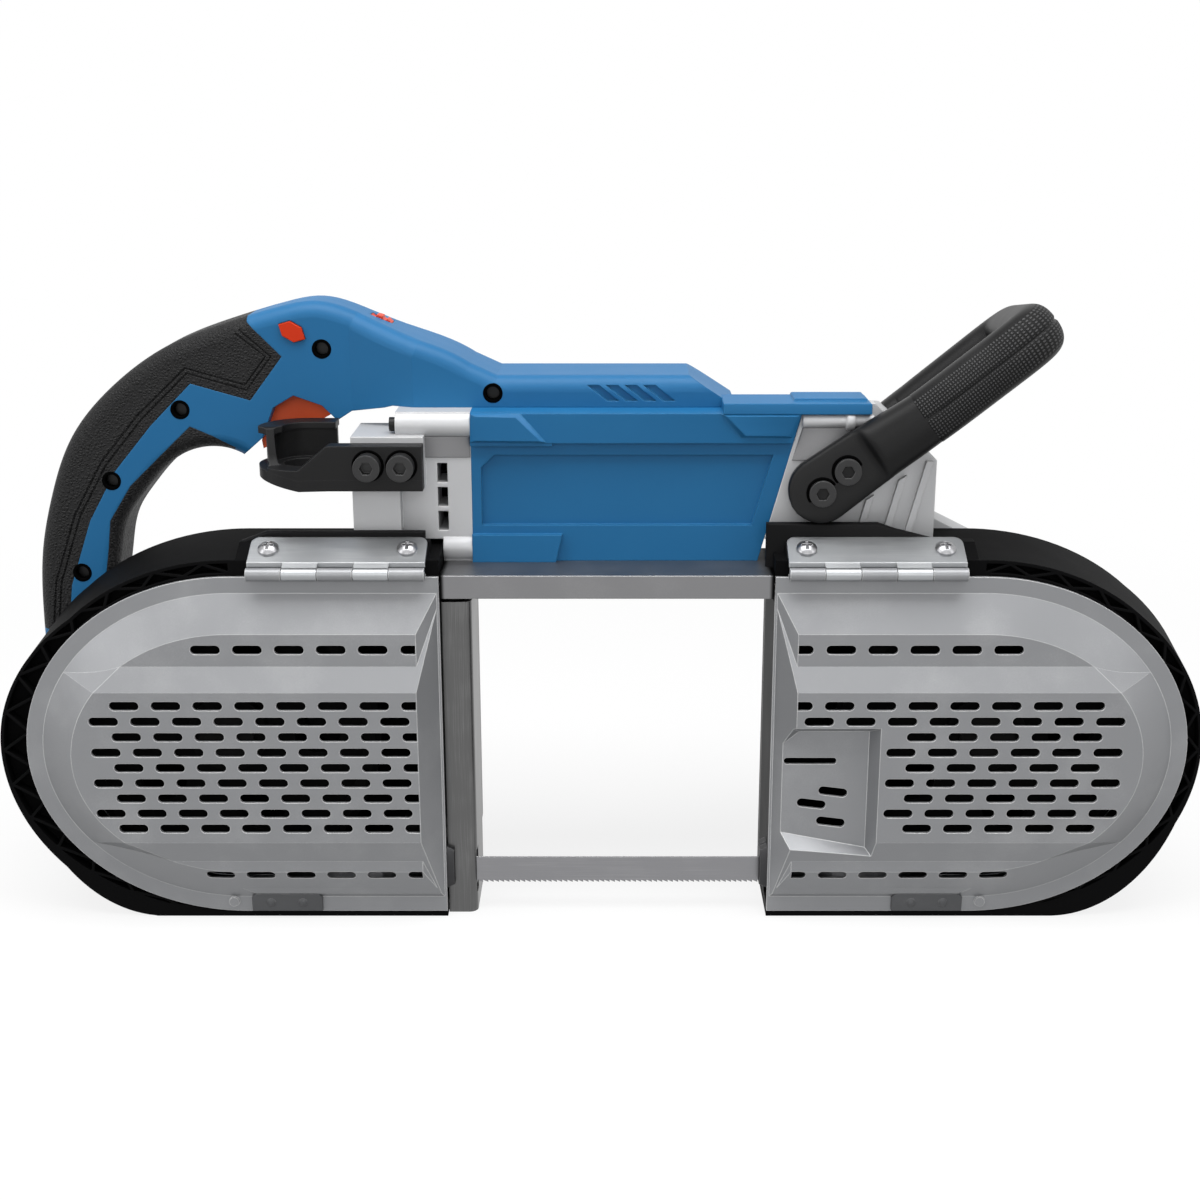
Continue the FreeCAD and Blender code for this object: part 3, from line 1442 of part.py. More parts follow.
def barrel(x0, x1):
    """Bar along X with a flat front, a sloped shoulder and a round back about the motor's axis."""
    crown = point(x0, spine_y, motor_z + barrel_radius)
    keel = point(x0, spine_y, bar_top)
    corners = [
        keel, point(x0, housing_front, bar_top), point(x0, housing_front, housing_top),
        point(x0, housing_shoulder_y, housing_top), crown]
    edges = [Part.makeLine(start, end) for start, end in zip(corners, corners[1:])]
    edges.append(Part.Arc(crown, point(x0, spine_y + barrel_radius, motor_z), keel).toShape())
    return Part.Face(Part.Wire(edges)).extrude(point(x1 - x0, 0, 0))


def motor_housing():
    """Moulded motor housing: round back, recessed side panel and raised ribs."""
    body = barrel(housing_rear_x, housing_slant_top_x)
    body = body.common(slab_y(housing_outline(), 0, casting_back))
    panel = [
        (panel_rear_x, panel_low), (panel_front_low_x, panel_low), (panel_front_high_x, panel_high),
        (panel_rear_x + panel_corner, panel_high), (panel_rear_x, panel_high - panel_corner)]
    body = body.cut(slab_y(panel, housing_front - overrun, housing_front + panel_depth))
    rib_front = housing_front - rib_height
    top_end = housing_rear_x + top_rib_length
    top_rib = [
        (housing_rear_x, top_rib_low), (top_end + rib_height, top_rib_low), (top_end, housing_top - overrun),
               (housing_rear_x, housing_top - overrun)]
    foot_end = housing_rear_x + foot_rib_length
    foot_rib = [(housing_rear_x, bar_top), (foot_end, bar_top), (foot_end + rib_height, foot_rib_high),
                (housing_rear_x, foot_rib_high)]
    ribs = [slab_y(rib, rib_front, housing_front + panel_depth) for rib in (top_rib, foot_rib)]
    body = join([body] + ribs)
    cavity = rod_x(spine_y, motor_z, housing_rear_x - overrun, motor_cavity_front_x, stator_radius)
    seat = rod_x(spine_y, motor_z, 0, motor_cavity_front_x + motor_bearing_width, motor_bearing_radius)
    shaft_hole = rod_x(spine_y, motor_z, 0, housing_slant_top_x + overrun, motor_shaft_radius + pass_gap)
    return body.cut(cavity).cut(seat).cut(shaft_hole)


def rear_end_casting():
    """Cast rear end of the motor: fan chamber, vents, screw bosses and hook block."""
    block = barrel(rear_casting_x, housing_rear_x)
    hook_block = box(
        (hook_block_x, hook_block_front, hook_block_low),
        (rear_casting_x + overrun, hook_block_back, hook_block_high))
    arm_seat = box(
        (rear_casting_x, hook_block_front, hook_low), (hook_end_x, housing_front + overrun, hook_block_high))
    body = join([block, hook_block, arm_seat])
    bosses = []
    boss_y = housing_front + screw_boss_inset - rib_height
    boss_places = (
        (rear_casting_x, housing_top - screw_boss_inset),
        (slide_gap - throat_half, bar_top + screw_boss_inset))
    for x, z in boss_places:
        bosses.append(rod_x(boss_y, z, x, housing_rear_x, screw_boss_inset))
    body = join([body] + bosses)
    clear_high = (-throat_half + slide_gap, deck_back + slide_gap, front_casting_clear_z)
    clear = box((hook_block_x, 0, 0), clear_high)
    body = body.cut(clear)
    chamber_ends = (fan_chamber_rear_x, housing_rear_x + overrun)
    body = body.cut(rod_x(spine_y, motor_z, *chamber_ends, fan_chamber_radius))
    seat_x = motor_bearing_xs()[0]
    body = body.cut(rod_x(spine_y, motor_z, seat_x, fan_chamber_rear_x + overrun, motor_bearing_radius))
    window = (vent_high - vent_low - vent_bars * vent_bar) / (vent_bars + 1)
    for index in range(vent_bars + 1):
        low = vent_low + index * (window + vent_bar)
        body = body.cut(box((vent_x - vent_width / 2, housing_front - overrun, low),
                            (vent_x + vent_width / 2, housing_front + vent_depth, low + window)))
    for bolt_x in hook_bolt_xs:
        body = body.cut(bolt(bolt_x, hook_bolt_z, hook_block_front - hook_thickness, 1))
    for screw in housing_screws():
        body = body.cut(screw)
    return body


def front_casting_outline():
    """Side view of the front casting, from the housing's slant to its shoulder."""
    slant = (housing_slant_top_x - housing_slant_foot_x) / (housing_top - bar_top)
    low_x = housing_slant_foot_x + slant * (front_casting_clear_z - bar_top)
    high_x = housing_slant_foot_x + slant * (front_casting_boss_high - bar_top)
    return [
        (low_x, front_casting_clear_z), (front_casting_end_x, front_casting_clear_z),
        (front_casting_end_x, front_casting_shoulder_z), (front_casting_shoulder_x, front_casting_boss_high),
        (high_x, front_casting_boss_high)]


def front_casting():
    """Cast front end: bevel gear room, handle seats and slanted ribs."""
    body = slab_y(front_casting_outline(), housing_front, casting_back)
    roof = [
        (housing_front, front_casting_clear_z), (housing_front, front_casting_boss_high),
        (front_casting_roof_y, front_casting_boss_high), (casting_back, front_casting_back_high),
        (casting_back, front_casting_clear_z)]
    body = body.common(slab_x(roof, 0, front_casting_end_x))
    ribs = []
    for x in casting_rib_xs:
        lean = (housing_slant_top_x - housing_slant_foot_x) / 2
        high_z = min(front_casting_shoulder_z, front_casting_boss_high)
        outline = [(x - lean, front_casting_clear_z), (x - lean + casting_rib_width, front_casting_clear_z),
                   (x + casting_rib_width, high_z), (x, high_z)]
        ribs.append(slab_y(outline, housing_front - casting_rib, housing_front + casting_rib))
    body = join([body] + [rib.cut(near_leg()) for rib in ribs])
    lower, upper = gear_case_form(gear_case_back + gear_cover, 0)
    for piece in (lower, upper, bevel_room()):
        body = body.cut(piece)
    bore_radius = gear_shaft_radius + running_fit
    body = body.cut(rod_y(*cross_centre(), deck_back, cross_shaft_back + slide_gap, bore_radius))
    for x, z in leg_bolt_places():
        body = body.cut(bolt(x, z, leg_front + bolt_sink, 1))
    for x, z in back_leg_bolt_places():
        body = body.cut(bolt(x, z, leg_back - bolt_sink, -1))
    return body


def handle_point(share):
    """Point of the handle's side view from its shares of length and height."""
    return (handle_rear_x + share[0] * handle_length, handle_low + share[1] * handle_height)


def curve_through(places, y):
    """Smooth edge through the given places in X and Z."""
    curve = Part.BSplineCurve()
    curve.interpolate([point(x, y, z) for x, z in places])
    return curve.toShape()


def handle_face(y):
    """Side view of the handle and the upper housing as one face."""
    outer = [handle_point(share) for share in handle_outer_shares]
    notch = [handle_point(share) for share in notch_shares]
    inner = [handle_point(share) for share in handle_inner_shares]
    upper = [
        outer[-1], (upper_step_x, upper_top), (upper_flat_x, upper_top), (upper_end_x, upper_low),
        (upper_end_x - upper_under_inset, upper_under_low), (rear_casting_x, upper_under_low),
        (rear_casting_x, upper_low), (upper_rear_x, upper_low), notch[0]]
    edges = [curve_through(outer, y), curve_through(inner, y)]
    for run in (upper, notch, [inner[-1], outer[0]]):
        for start, end in zip(run, run[1:]):
            edges.append(Part.makeLine(point(start[0], y, start[1]), point(end[0], y, end[1])))
    return Part.Face(Part.Wire(Part.__sortEdges__(edges)))


def handle_plan(half_width, near_width):
    """Top view of the handle: narrow at the grip, widened towards the covers over the motor."""
    far = handle_rear_x - overrun
    end = upper_end_x + overrun
    near = [(far, half_width), (widen_rear_x, half_width), (widen_front_x, near_width), (end, near_width)]
    outline = [(x, spine_y - width) for x, width in near]
    outline += [(end, spine_y + half_width), (far, spine_y + half_width)]
    return slab_z(outline, 0, handle_high + overrun)


def rounded_sides(form, radius):
    """Handle form with its long outer and inner edges rounded."""
    solid = form.Solids[0]
    edges = []
    for edge in solid.Edges:
        curved = isinstance(edge.Curve, Part.BSplineCurve)
        level_top = edge.BoundBox.ZMin > upper_low + overrun and edge.BoundBox.XLength > radius
        if edge.BoundBox.XLength > overrun and (curved or level_top):
            edges.append(edge)
    return solid.makeFillet(radius, edges)


def handle_form():
    """Whole handle before it is split into shells and grips."""
    front = spine_y - upper_near_width - overrun
    side_view = handle_face(front).extrude(point(0, 2 * (spine_y - front), 0))
    form = rounded_sides(side_view.common(handle_plan(handle_half_width, upper_near_width)), handle_round)
    return form.cut(barrel(rear_casting_x, upper_end_x + overrun))


def drawn_in(places, inset):
    """Places moved square to their own line, to its right-hand side."""
    moved = []
    for index, (x, z) in enumerate(places):
        before = places[max(0, index - 1)]
        after = places[min(len(places) - 1, index + 1)]
        dx = after[0] - before[0]
        dz = after[1] - before[1]
        share = inset / math.hypot(dx, dz)
        moved.append((x + dz * share, z - dx * share))
    return moved


def handle_core():
    """Core that the rubber wraps: the handle drawn in by the grip's skin."""
    front = spine_y - upper_near_width - overrun
    outer = drawn_in([handle_point(share) for share in handle_outer_shares], grip_skin)
    inner = drawn_in([handle_point(share) for share in handle_inner_shares], grip_skin)
    edges = [curve_through(outer, front), curve_through(inner, front)]
    for start, end in ((outer[-1], inner[0]), (inner[-1], outer[0])):
        edges.append(Part.makeLine(point(start[0], front, start[1]), point(end[0], front, end[1])))
    face = Part.Face(Part.Wire(Part.__sortEdges__(edges)))
    side_view = face.extrude(point(0, 2 * (spine_y - front), 0))
    half_width = handle_half_width - grip_skin
    return rounded_sides(side_view.common(handle_plan(half_width, half_width)), handle_round - grip_skin)


def grip_region(shares):
    """Prism through the handle over one grip's outline."""
    half = upper_near_width + overrun
    return slab_y([handle_point(share) for share in shares], spine_y - half, spine_y + half)


def handle_screw_places():
    """Axis and near face of each handle screw: x, z and the face's depth."""
    places = []
    for share in handle_screw_shares:
        x, z = handle_point(share)
        places.append((x, z, spine_y - handle_half_width))
    places.append((upper_screw_x, upper_screw_z, spine_y - upper_near_width))
    return places


def handle_screws():
    """Recessed screws that hold the two shells together."""
    screws = []
    for x, z, face in handle_screw_places():
        seat = face + handle_screw_sink
        head = rod_y(x, z, seat, seat + handle_screw_head, handle_screw_radius)
        shank = rod_y(x, z, seat, spine_y + handle_screw_reach, handle_screw_shank_radius)
        screws.append(join([head, shank]))
    return screws


def screw_wells():
    """Wells in the near shell over the screw heads."""
    wells = []
    for x, z, face in handle_screw_places():
        floor = face + handle_screw_sink
        wells.append(rod_y(x, z, face - overrun, floor, handle_screw_radius + running_fit))
    return wells


def lock_outline(grow):
    """Stretched hexagon of the lock button."""
    half_length = lock_length / 2 + grow
    half_height = lock_height / 2 + grow
    flat = half_length - half_height
    turn = math.radians(lock_tilt)
    corners = []
    for x, z in ((-half_length, 0), (-flat, half_height), (flat, half_height), (half_length, 0),
                 (flat, -half_height), (-flat, -half_height)):
        along = x * math.cos(turn) - z * math.sin(turn)
        corners.append((lock_x + along, lock_z + x * math.sin(turn) + z * math.cos(turn)))
    return corners


def lock_button():
    """Lock-off button: a hexagonal bar across the handle, pressed from either side."""
    reach = handle_half_width + lock_proud
    return slab_y(lock_outline(0), spine_y - reach, spine_y + reach - lock_travel)


def trigger():
    """Finger trigger between the handle's two beaks, turning on a pin."""
    outline = [handle_point(share) for share in trigger_shares]
    body = slab_y(outline, spine_y - trigger_half_width, spine_y + trigger_half_width)
    x, z = handle_point(trigger_pin_share)
    return body.cut(rod_y(x, z, 0, casting_back, trigger_pin_radius + running_fit))


def trigger_room():
    """Space in the shells where the trigger swings."""
    half = trigger_half_width + slide_gap
    return slab_y([handle_point(share) for share in trigger_room_shares], spine_y - half, spine_y + half)


def trigger_pin():
    """Pin across the shells for the trigger."""
    x, z = handle_point(trigger_pin_share)
    half = trigger_half_width + slide_gap
    return rod_y(x, z, spine_y - half, spine_y + half, trigger_pin_radius)


def trigger_switch():
    """Switch module above the trigger, with the plunger that the trigger presses."""
    body = box(
        (switch_rear_x, spine_y - switch_half_width, switch_low),
        (switch_front_x, spine_y + switch_half_width, switch_high))
    return body


def speed_dial():
    """Notched thumbwheel for the speed, sunk in the handle's top."""
    faces = (spine_y - dial_half_width, spine_y + dial_half_width)
    wheel_form = ring_y(dial_x, dial_z, *faces, dial_radius, dial_pin_radius + running_fit)
    for index in range(dial_notches):
        angle = 2 * math.pi * index / dial_notches
        notch = rod_y(dial_x + dial_radius * math.cos(angle), dial_z + dial_radius * math.sin(angle),
                      spine_y - 2 * dial_half_width, spine_y + 2 * dial_half_width, dial_notch_radius)
        wheel_form = wheel_form.cut(notch)
    return wheel_form


def dial_room():
    """Round pocket for the thumbwheel around its pin."""
    half = dial_half_width + slide_gap
    room = rod_y(dial_x, dial_z, spine_y - half, spine_y + half, dial_radius + slide_gap)
    return room.cut(rod_y(dial_x, dial_z, spine_y - half, spine_y + half, dial_pin_radius))


def control_board():
    """Electronics board in the upper housing."""
    return box(
        (board_rear_x, spine_y - board_half_width, board_low),
        (board_front_x, spine_y + board_half_width, board_low + board_thickness))


def board_space():
    """Room over the motor for the board."""
    return box(
        (board_rear_x, spine_y - board_half_width, upper_low),
        (board_front_x, spine_y + board_half_width, board_low + board_room))


def housing_fins():
    """Slanted grooves pressed in the upper housing's side."""
    face = spine_y - upper_near_width
    grooves = []
    for index in range(fin_count):
        x = fin_rear_x + index * fin_pitch
        foot_x = x + fin_lean
        outline = [
            (foot_x, fin_low), (foot_x + fin_width, fin_low), (x + fin_width, fin_high), (x, fin_high)]
        grooves.append(slab_y(outline, face - overrun, face + fin_depth))
    return grooves


def grip_lines():
    """Pressed double line that follows the rear grip's border on both sides of the handle."""
    border = [handle_point(share) for share in rear_grip_shares[1:rear_grip_border_count]]
    near_face = spine_y - handle_half_width
    far_face = spine_y + handle_half_width
    lines = []
    for inset in grip_line_insets:
        outline = drawn_in(border, inset) + drawn_in(border, inset + grip_line_width)[::-1]
        lines.append(slab_y(outline, near_face - overrun, near_face + grip_line_depth))
        lines.append(slab_y(outline, far_face - grip_line_depth, far_face + overrun))
    return group(lines)


def handle_pieces():
    """Split the handle into two shells, the wrapped rear grip and the inner grip."""
    form = handle_form()
    core = handle_core()
    rear_grip = form.common(grip_region(rear_grip_shares)).cut(core).cut(grip_lines())
    inner_grip = form.common(grip_region(inner_grip_shares)).cut(core)
    inner_grip = inner_grip.cut(grip_region(rear_grip_shares))
    body = form.cut(grip_region(rear_grip_shares).fuse(inner_grip).cut(core))
    rooms = [trigger_room(), dial_room(), board_space(), trigger_switch()]
    rooms.append(slab_y(lock_outline(slide_gap), 0, casting_back))
    for room in rooms:
        body = body.cut(room)
    for fin in housing_fins():
        body = body.cut(fin)
    body = body.fuse(trigger_pin())
    for cutter in screw_wells() + handle_screws():
        body = body.cut(cutter)
        rear_grip = rear_grip.cut(cutter)
    half = upper_near_width + overrun
    rear = handle_rear_x - overrun
    front = upper_end_x + overrun
    top = handle_high + overrun
    near_half = box((rear, spine_y - half, 0), (front, spine_y, top))
    far_half = box((rear, spine_y, 0), (front, spine_y + half, top))
    return body.common(near_half), body.common(far_half), rear_grip, inner_grip


def battery_dock():
    """Dock under the handle's foot: a block with slide grooves and a contact recess."""
    y0 = spine_y - handle_half_width
    y1 = spine_y + handle_half_width
    block = box((handle_rear_x, y0, dock_low), (dock_front_x, y1, handle_low))
    for low, high in ((y0 - overrun, y0 + dock_groove_depth), (y1 - dock_groove_depth, y1 + overrun)):
        groove_low = (handle_rear_x - overrun, low, dock_groove_low)
        block = block.cut(box(groove_low, (dock_front_x - dock_groove_depth, high, dock_groove_high)))
    recess_y = handle_half_width - 2 * dock_groove_depth
    recess = box((handle_rear_x - overrun, spine_y - recess_y, dock_low - overrun),
                 (dock_front_x - dock_groove_depth, spine_y + recess_y, dock_low + dock_recess_depth))
    block = block.cut(recess)
    blades = []
    for index in range(dock_contact_count):
        y = spine_y - recess_y + (index + 1) * 2 * recess_y / (dock_contact_count + 1)
        blades.append(box(
            (dock_front_x - dock_contact_length, y - dock_contact / 2, dock_low),
            (dock_front_x - dock_groove_depth, y + dock_contact / 2, dock_low + dock_recess_depth)))
    return join([block] + blades)


def bolt(x, z, seat, direction):
    """Socket-head bolt: the head stands before the seat, the shank runs in past it."""
    shank_length = bolt_reach + bolt_sink
    ys = sorted((seat - direction * bolt_head, seat))
    head = rod_y(x, z, ys[0], ys[1], bolt_head_radius)
    ys = sorted((seat, seat + direction * shank_length))
    shank = rod_y(x, z, ys[0], ys[1], bolt_shank_radius)
    return join([head, shank])


def bolt_socket(x, z, seat, direction):
    """Hexagonal recess in a bolt's head."""
    face = seat - direction * bolt_head
    corners = []
    for index in range(bolt_socket_sides):
        angle = 2 * math.pi * index / bolt_socket_sides
        corners.append((x + bolt_socket_radius * math.cos(angle), z + bolt_socket_radius * math.sin(angle)))
    ys = sorted((face - direction * overrun, face + direction * bolt_socket_depth))
    return slab_y(corners, ys[0], ys[1])


def leg_direction():
    """Unit direction of the loop's legs in X and Z."""
    angle = math.radians(leg_angle)
    return (math.cos(angle), math.sin(angle))


def leg_bolt_places():
    """Two bolts in the near leg."""
    places = []
    for share in leg_bolt_shares:
        ux, uz = leg_direction()
        places.append((leg_low_x + share * bolt_spacing * ux, leg_low_z + share * bolt_spacing * uz))
    return places


def back_leg_bolt_places():
    """Two bolts in the far leg, which sits further forward and lower."""
    return [(x + loop_skew_x, z + loop_skew_z) for x, z in leg_bolt_places()]


def socket_bolts():
    """Bolts of the rafter hook and of the loop handle."""
    bolts = []
    for x in hook_bolt_xs:
        seat = hook_block_front - hook_thickness
        bolts.append(bolt(x, hook_bolt_z, seat, 1).cut(bolt_socket(x, hook_bolt_z, seat, 1)))
    for x, z in leg_bolt_places():
        seat = leg_front + bolt_sink
        bolts.append(bolt(x, z, seat, 1).cut(bolt_socket(x, z, seat, 1)))
    for x, z in back_leg_bolt_places():
        seat = leg_back - bolt_sink
        bolts.append(bolt(x, z, seat, -1).cut(bolt_socket(x, z, seat, -1)))
    return group(bolts)


def rafter_hook():
    """Hook bolted to the rear casting: arm, and a round bend that rises to the return arm."""
    y0 = hook_block_front - hook_thickness
    y1 = hook_block_front
    outer = hook_gap_width / 2 + hook_thickness
    inner = hook_gap_width / 2
    centre_y = y1 + inner
    back_y = centre_y + outer
    bend = rod_z(hook_bend_x, centre_y, hook_low, hook_back_high, outer)
    bend = bend.cut(rod_z(hook_bend_x, centre_y, hook_low - overrun, hook_back_high + overrun, inner))
    bend = bend.common(box((hook_bend_x - outer, y0, hook_low), (hook_bend_x, back_y, hook_back_high)))
    back = box((hook_bend_x, centre_y + inner, hook_low), (hook_tip_x, back_y, hook_back_high))
    slope = [(y0, hook_low), (back_y, hook_low), (back_y, hook_back_high), (y0, hook_front_high)]
    loop = join([bend, back]).common(slab_x(slope, hook_bend_x - outer, hook_tip_x))
    arm = [(hook_bend_x, hook_low), (hook_end_x, hook_low), (hook_end_x, hook_high), (hook_tip_x, hook_high),
           (hook_bend_x, hook_front_high)]
    hook = join([loop, slab_y(arm, y0, y1)])
    for x in hook_bolt_xs:
        hook = hook.cut(bolt(x, hook_bolt_z, y0, 1))
    return hook


def loop_frame(along, across):
    """Point on the loop's middle line, and its directions, in the loop's own skewed plane."""
    ux, uz = leg_direction()
    span = point(loop_skew_x, leg_back - leg_front - leg_thickness, loop_skew_z)
    width = span.Length
    cross = span * (1 / width)
    up = point(ux, 0, uz)
    share = max(0, min(1, (along - loop_start) / (loop_straight + loop_bend - loop_start)))
    offset = loop_offset + (loop_end_offset - loop_offset) * share
    normal = point(-uz, 0, ux)
    origin = point(leg_low_x, leg_front + leg_thickness / 2, leg_low_z)
    place = origin + up * along + cross * across + normal * offset
    return place, up, cross, normal, share, width


def loop_sections(starts, skin):
    """Elliptic sections along the loop: up one leg, round two bends and down the other."""
    width = loop_frame(0, 0)[-1]
    stations = [(along, 0, 0) for along in starts]
    for step in range(1, loop_bend_steps + 1):
        turn = math.pi / 2 * step / loop_bend_steps
        stations.append((loop_straight + loop_bend * math.sin(turn), loop_bend * (1 - math.cos(turn)), turn))
    stations.append((loop_straight + loop_bend, width / 2, math.pi / 2))
    mirrored = [(along, width - across, math.pi - turn) for along, across, turn in stations[:-1]]
    wires = []
    for along, across, turn in stations + mirrored[::-1]:
        place, up, cross, normal, share, width = loop_frame(along, across)
        tall = loop_half_height + (loop_end_half_height - loop_half_height) * share - skin
        deep = loop_half_depth + (loop_end_half_depth - loop_half_depth) * share - skin
        tangent = up * math.cos(turn) + cross * math.sin(turn)
        side = normal.cross(tangent)
        side.normalize()
        upright = tangent.cross(side)
        upright.normalize()
        ellipse = Part.Ellipse(place + upright * tall, place + side * deep, place)
        wires.append(Part.Wire([ellipse.toShape()]))
    return wires


def loop_core():
    """Inner bar of the loop handle."""
    starts = (loop_start, loop_grip_start, loop_straight)
    return Part.makeLoft(loop_sections(starts, loop_skin), True, True)


def near_leg():
    """Flat leg at the covers' side, from its bolts to the start of the grip."""
    grip_place = loop_frame(loop_grip_start - leg_high_radius, 0)[0]
    high = (grip_place.x, grip_place.z)
    return capsule_y((leg_low_x, leg_low_z), leg_low_radius, high, leg_high_radius, leg_front, housing_front)


def front_handle():
    """Loop handle: bar and two flat legs with bolt wells."""
    far = near_leg().translated(point(loop_skew_x, casting_back - leg_front, loop_skew_z))
    handle = join([loop_core(), near_leg(), far])
    clear = slab_y(front_casting_outline(), housing_front, casting_back)
    handle = handle.cut(clear)
    for x, z in leg_bolt_places():
        handle = handle.cut(rod_y(x, z, leg_front - overrun, leg_front + bolt_sink, bolt_well_radius))
        handle = handle.cut(rod_y(x, z, leg_front, housing_front + overrun, bolt_shank_radius))
    for x, z in back_leg_bolt_places():
        handle = handle.cut(rod_y(x, z, leg_back - bolt_sink, leg_back + overrun, bolt_well_radius))
        handle = handle.cut(rod_y(x, z, casting_back - overrun, leg_back, bolt_shank_radius))
    return handle


def front_handle_grip():
    """Rubber sleeve over the loop's bar."""
    starts = (loop_grip_start, (loop_grip_start + loop_straight) / 2, loop_straight)
    sleeve = Part.makeLoft(loop_sections(starts, 0), True, True)
    return sleeve.cut(front_handle())


def housing_screws():
    """Long screws along X that clamp the rear casting to the housing."""
    screws = []
    y = housing_front + screw_boss_inset - rib_height
    z = housing_top - screw_boss_inset
    head = rod_x(y, z, rear_casting_x - handle_screw_head, rear_casting_x, handle_screw_radius)
    shank = rod_x(y, z, rear_casting_x - handle_screw_head, housing_rear_x, handle_screw_shank_radius)
    screws.append(join([head, shank]))
    return screws


def build():
    """Make every piece and write it under its own name."""
    os.makedirs("parts", exist_ok=True)
    save("main_frame", main_frame())
    save("rear_deck", deck(-1))
    save("front_deck", deck(1))
    save("rear_bumper", bumper(-1, bumper_rear_end_front_reach))
    save("front_bumper", bumper(1, bumper_end_front_reach))
    save("rear_cover", cover(-1))
    save("front_cover", cover(1))
    save("hinge_leaves", group([hinge_leaf(-1), hinge_leaf(1)]))
    save("hinge_pins", hinge_pins())
    save("hinge_screws", group(hinge_screws(-1) + hinge_screws(1)))
    save("drive_wheel", wheel(1, shaft_radius))
    save("drive_tyre", tyre(1))
    save("drive_shaft", drive_shaft())
    save("idler_wheel", wheel(-1, wheel_bearing_radius))
    save("idler_tyre", tyre(-1))
    save("idler_bearings", idler_bearings())
    save("idler_axle", idler_axle())
    save("shaft_bearings", shaft_bearings())
    save("band", band())
    for side, word in ((-1, "rear"), (1, "front")):
        save(word + "_guide_bracket", guide_bracket(side))
        save(word + "_near_roller", side_roller(side, -1))
        save(word + "_far_roller", side_roller(side, 1))
        save(word + "_thrust_roller", thrust_roller(side))
    save("shoe", shoe())
    save("shoe_screws", group([shoe_screw(z) for z in shoe_screw_zs]))
    save("tension_slide", tension_slide())
    save("tension_lever", tension_lever())
    save("cross_shaft", cross_shaft())
    save("bevel_gear", bevel_gear())
    save("intermediate_gear", intermediate_gear())
    save("final_gear", final_gear())
    save("gear_case", gear_case())
    save("gear_case_cover", gear_case_cover())
    save("motor_rotor", motor_rotor())
    save("cooling_fan", cooling_fan())
    save("motor_stator", motor_stator())
    save("motor_housing", motor_housing())
    save("rear_casting", rear_end_casting())
    save("front_casting", front_casting())
    near_shell, far_shell, rear_grip, inner_grip = handle_pieces()
    save("near_handle_shell", near_shell)
    save("far_handle_shell", far_shell)
    save("rear_grip", rear_grip)
    save("inner_grip", inner_grip)
    save("case_screws", group(handle_screws() + housing_screws()))
    save("trigger", trigger())
    save("trigger_switch", trigger_switch())
    save("lock_button", lock_button())
    save("speed_dial", speed_dial())
    save("control_board", control_board())
    save("battery_dock", battery_dock())
    save("rafter_hook", rafter_hook())
    save("socket_bolts", socket_bolts())
    save("front_handle", front_handle())
    save("front_handle_grip", front_handle_grip())


build()
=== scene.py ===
"""Looks of a portable band saw: finishes, small fittings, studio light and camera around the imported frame."""

import logging
import math
from dataclasses import dataclass
from enum import Enum
from typing import Any, ClassVar, Mapping, Sequence, Union

import bpy
import numpy as np
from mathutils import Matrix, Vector

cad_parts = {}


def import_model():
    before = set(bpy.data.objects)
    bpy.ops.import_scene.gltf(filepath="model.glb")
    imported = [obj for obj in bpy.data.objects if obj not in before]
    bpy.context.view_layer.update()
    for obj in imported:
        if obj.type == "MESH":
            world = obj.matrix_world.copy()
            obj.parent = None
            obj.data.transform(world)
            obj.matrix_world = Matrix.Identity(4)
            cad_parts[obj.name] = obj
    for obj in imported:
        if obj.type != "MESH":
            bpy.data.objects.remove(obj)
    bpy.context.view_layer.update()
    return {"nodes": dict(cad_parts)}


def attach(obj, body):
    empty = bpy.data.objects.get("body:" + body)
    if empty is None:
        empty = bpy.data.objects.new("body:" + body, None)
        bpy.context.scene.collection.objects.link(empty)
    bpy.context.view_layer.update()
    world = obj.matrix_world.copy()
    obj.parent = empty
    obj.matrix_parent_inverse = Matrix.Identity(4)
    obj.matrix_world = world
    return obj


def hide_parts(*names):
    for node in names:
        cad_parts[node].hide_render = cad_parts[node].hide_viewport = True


LOG = logging.getLogger("band_saw")
MM = 0.001
WHITE = (1.0, 1.0, 1.0, 1.0)
SURFACE_PLACE = "surface_place"
SHARP_ANGLE = math.radians(40.0)
BEVEL_SAMPLES = 6
NOISE_FALLOFF = 0.55
RIM_AROUND = 48
ENDS = (("rear", -1.0), ("front", 1.0))
Number = Union[int, float]
Colour = tuple[float, float, float]
Point = tuple[float, float, float]
Pair = tuple[float, float]


class Axis(Enum):
    """Direction of a metal's streaks, of a plate's thickness or of a turned form."""

    X = (1.0, 0.0, 0.0)
    Y = (0.0, 1.0, 0.0)
    Z = (0.0, 0.0, 1.0)


class Grain(Enum):
    """Kind of relief that a moulded surface carries."""

    SPARK = "fine pits left by the mould"
    LEATHER = "shallow cells with soft borders"


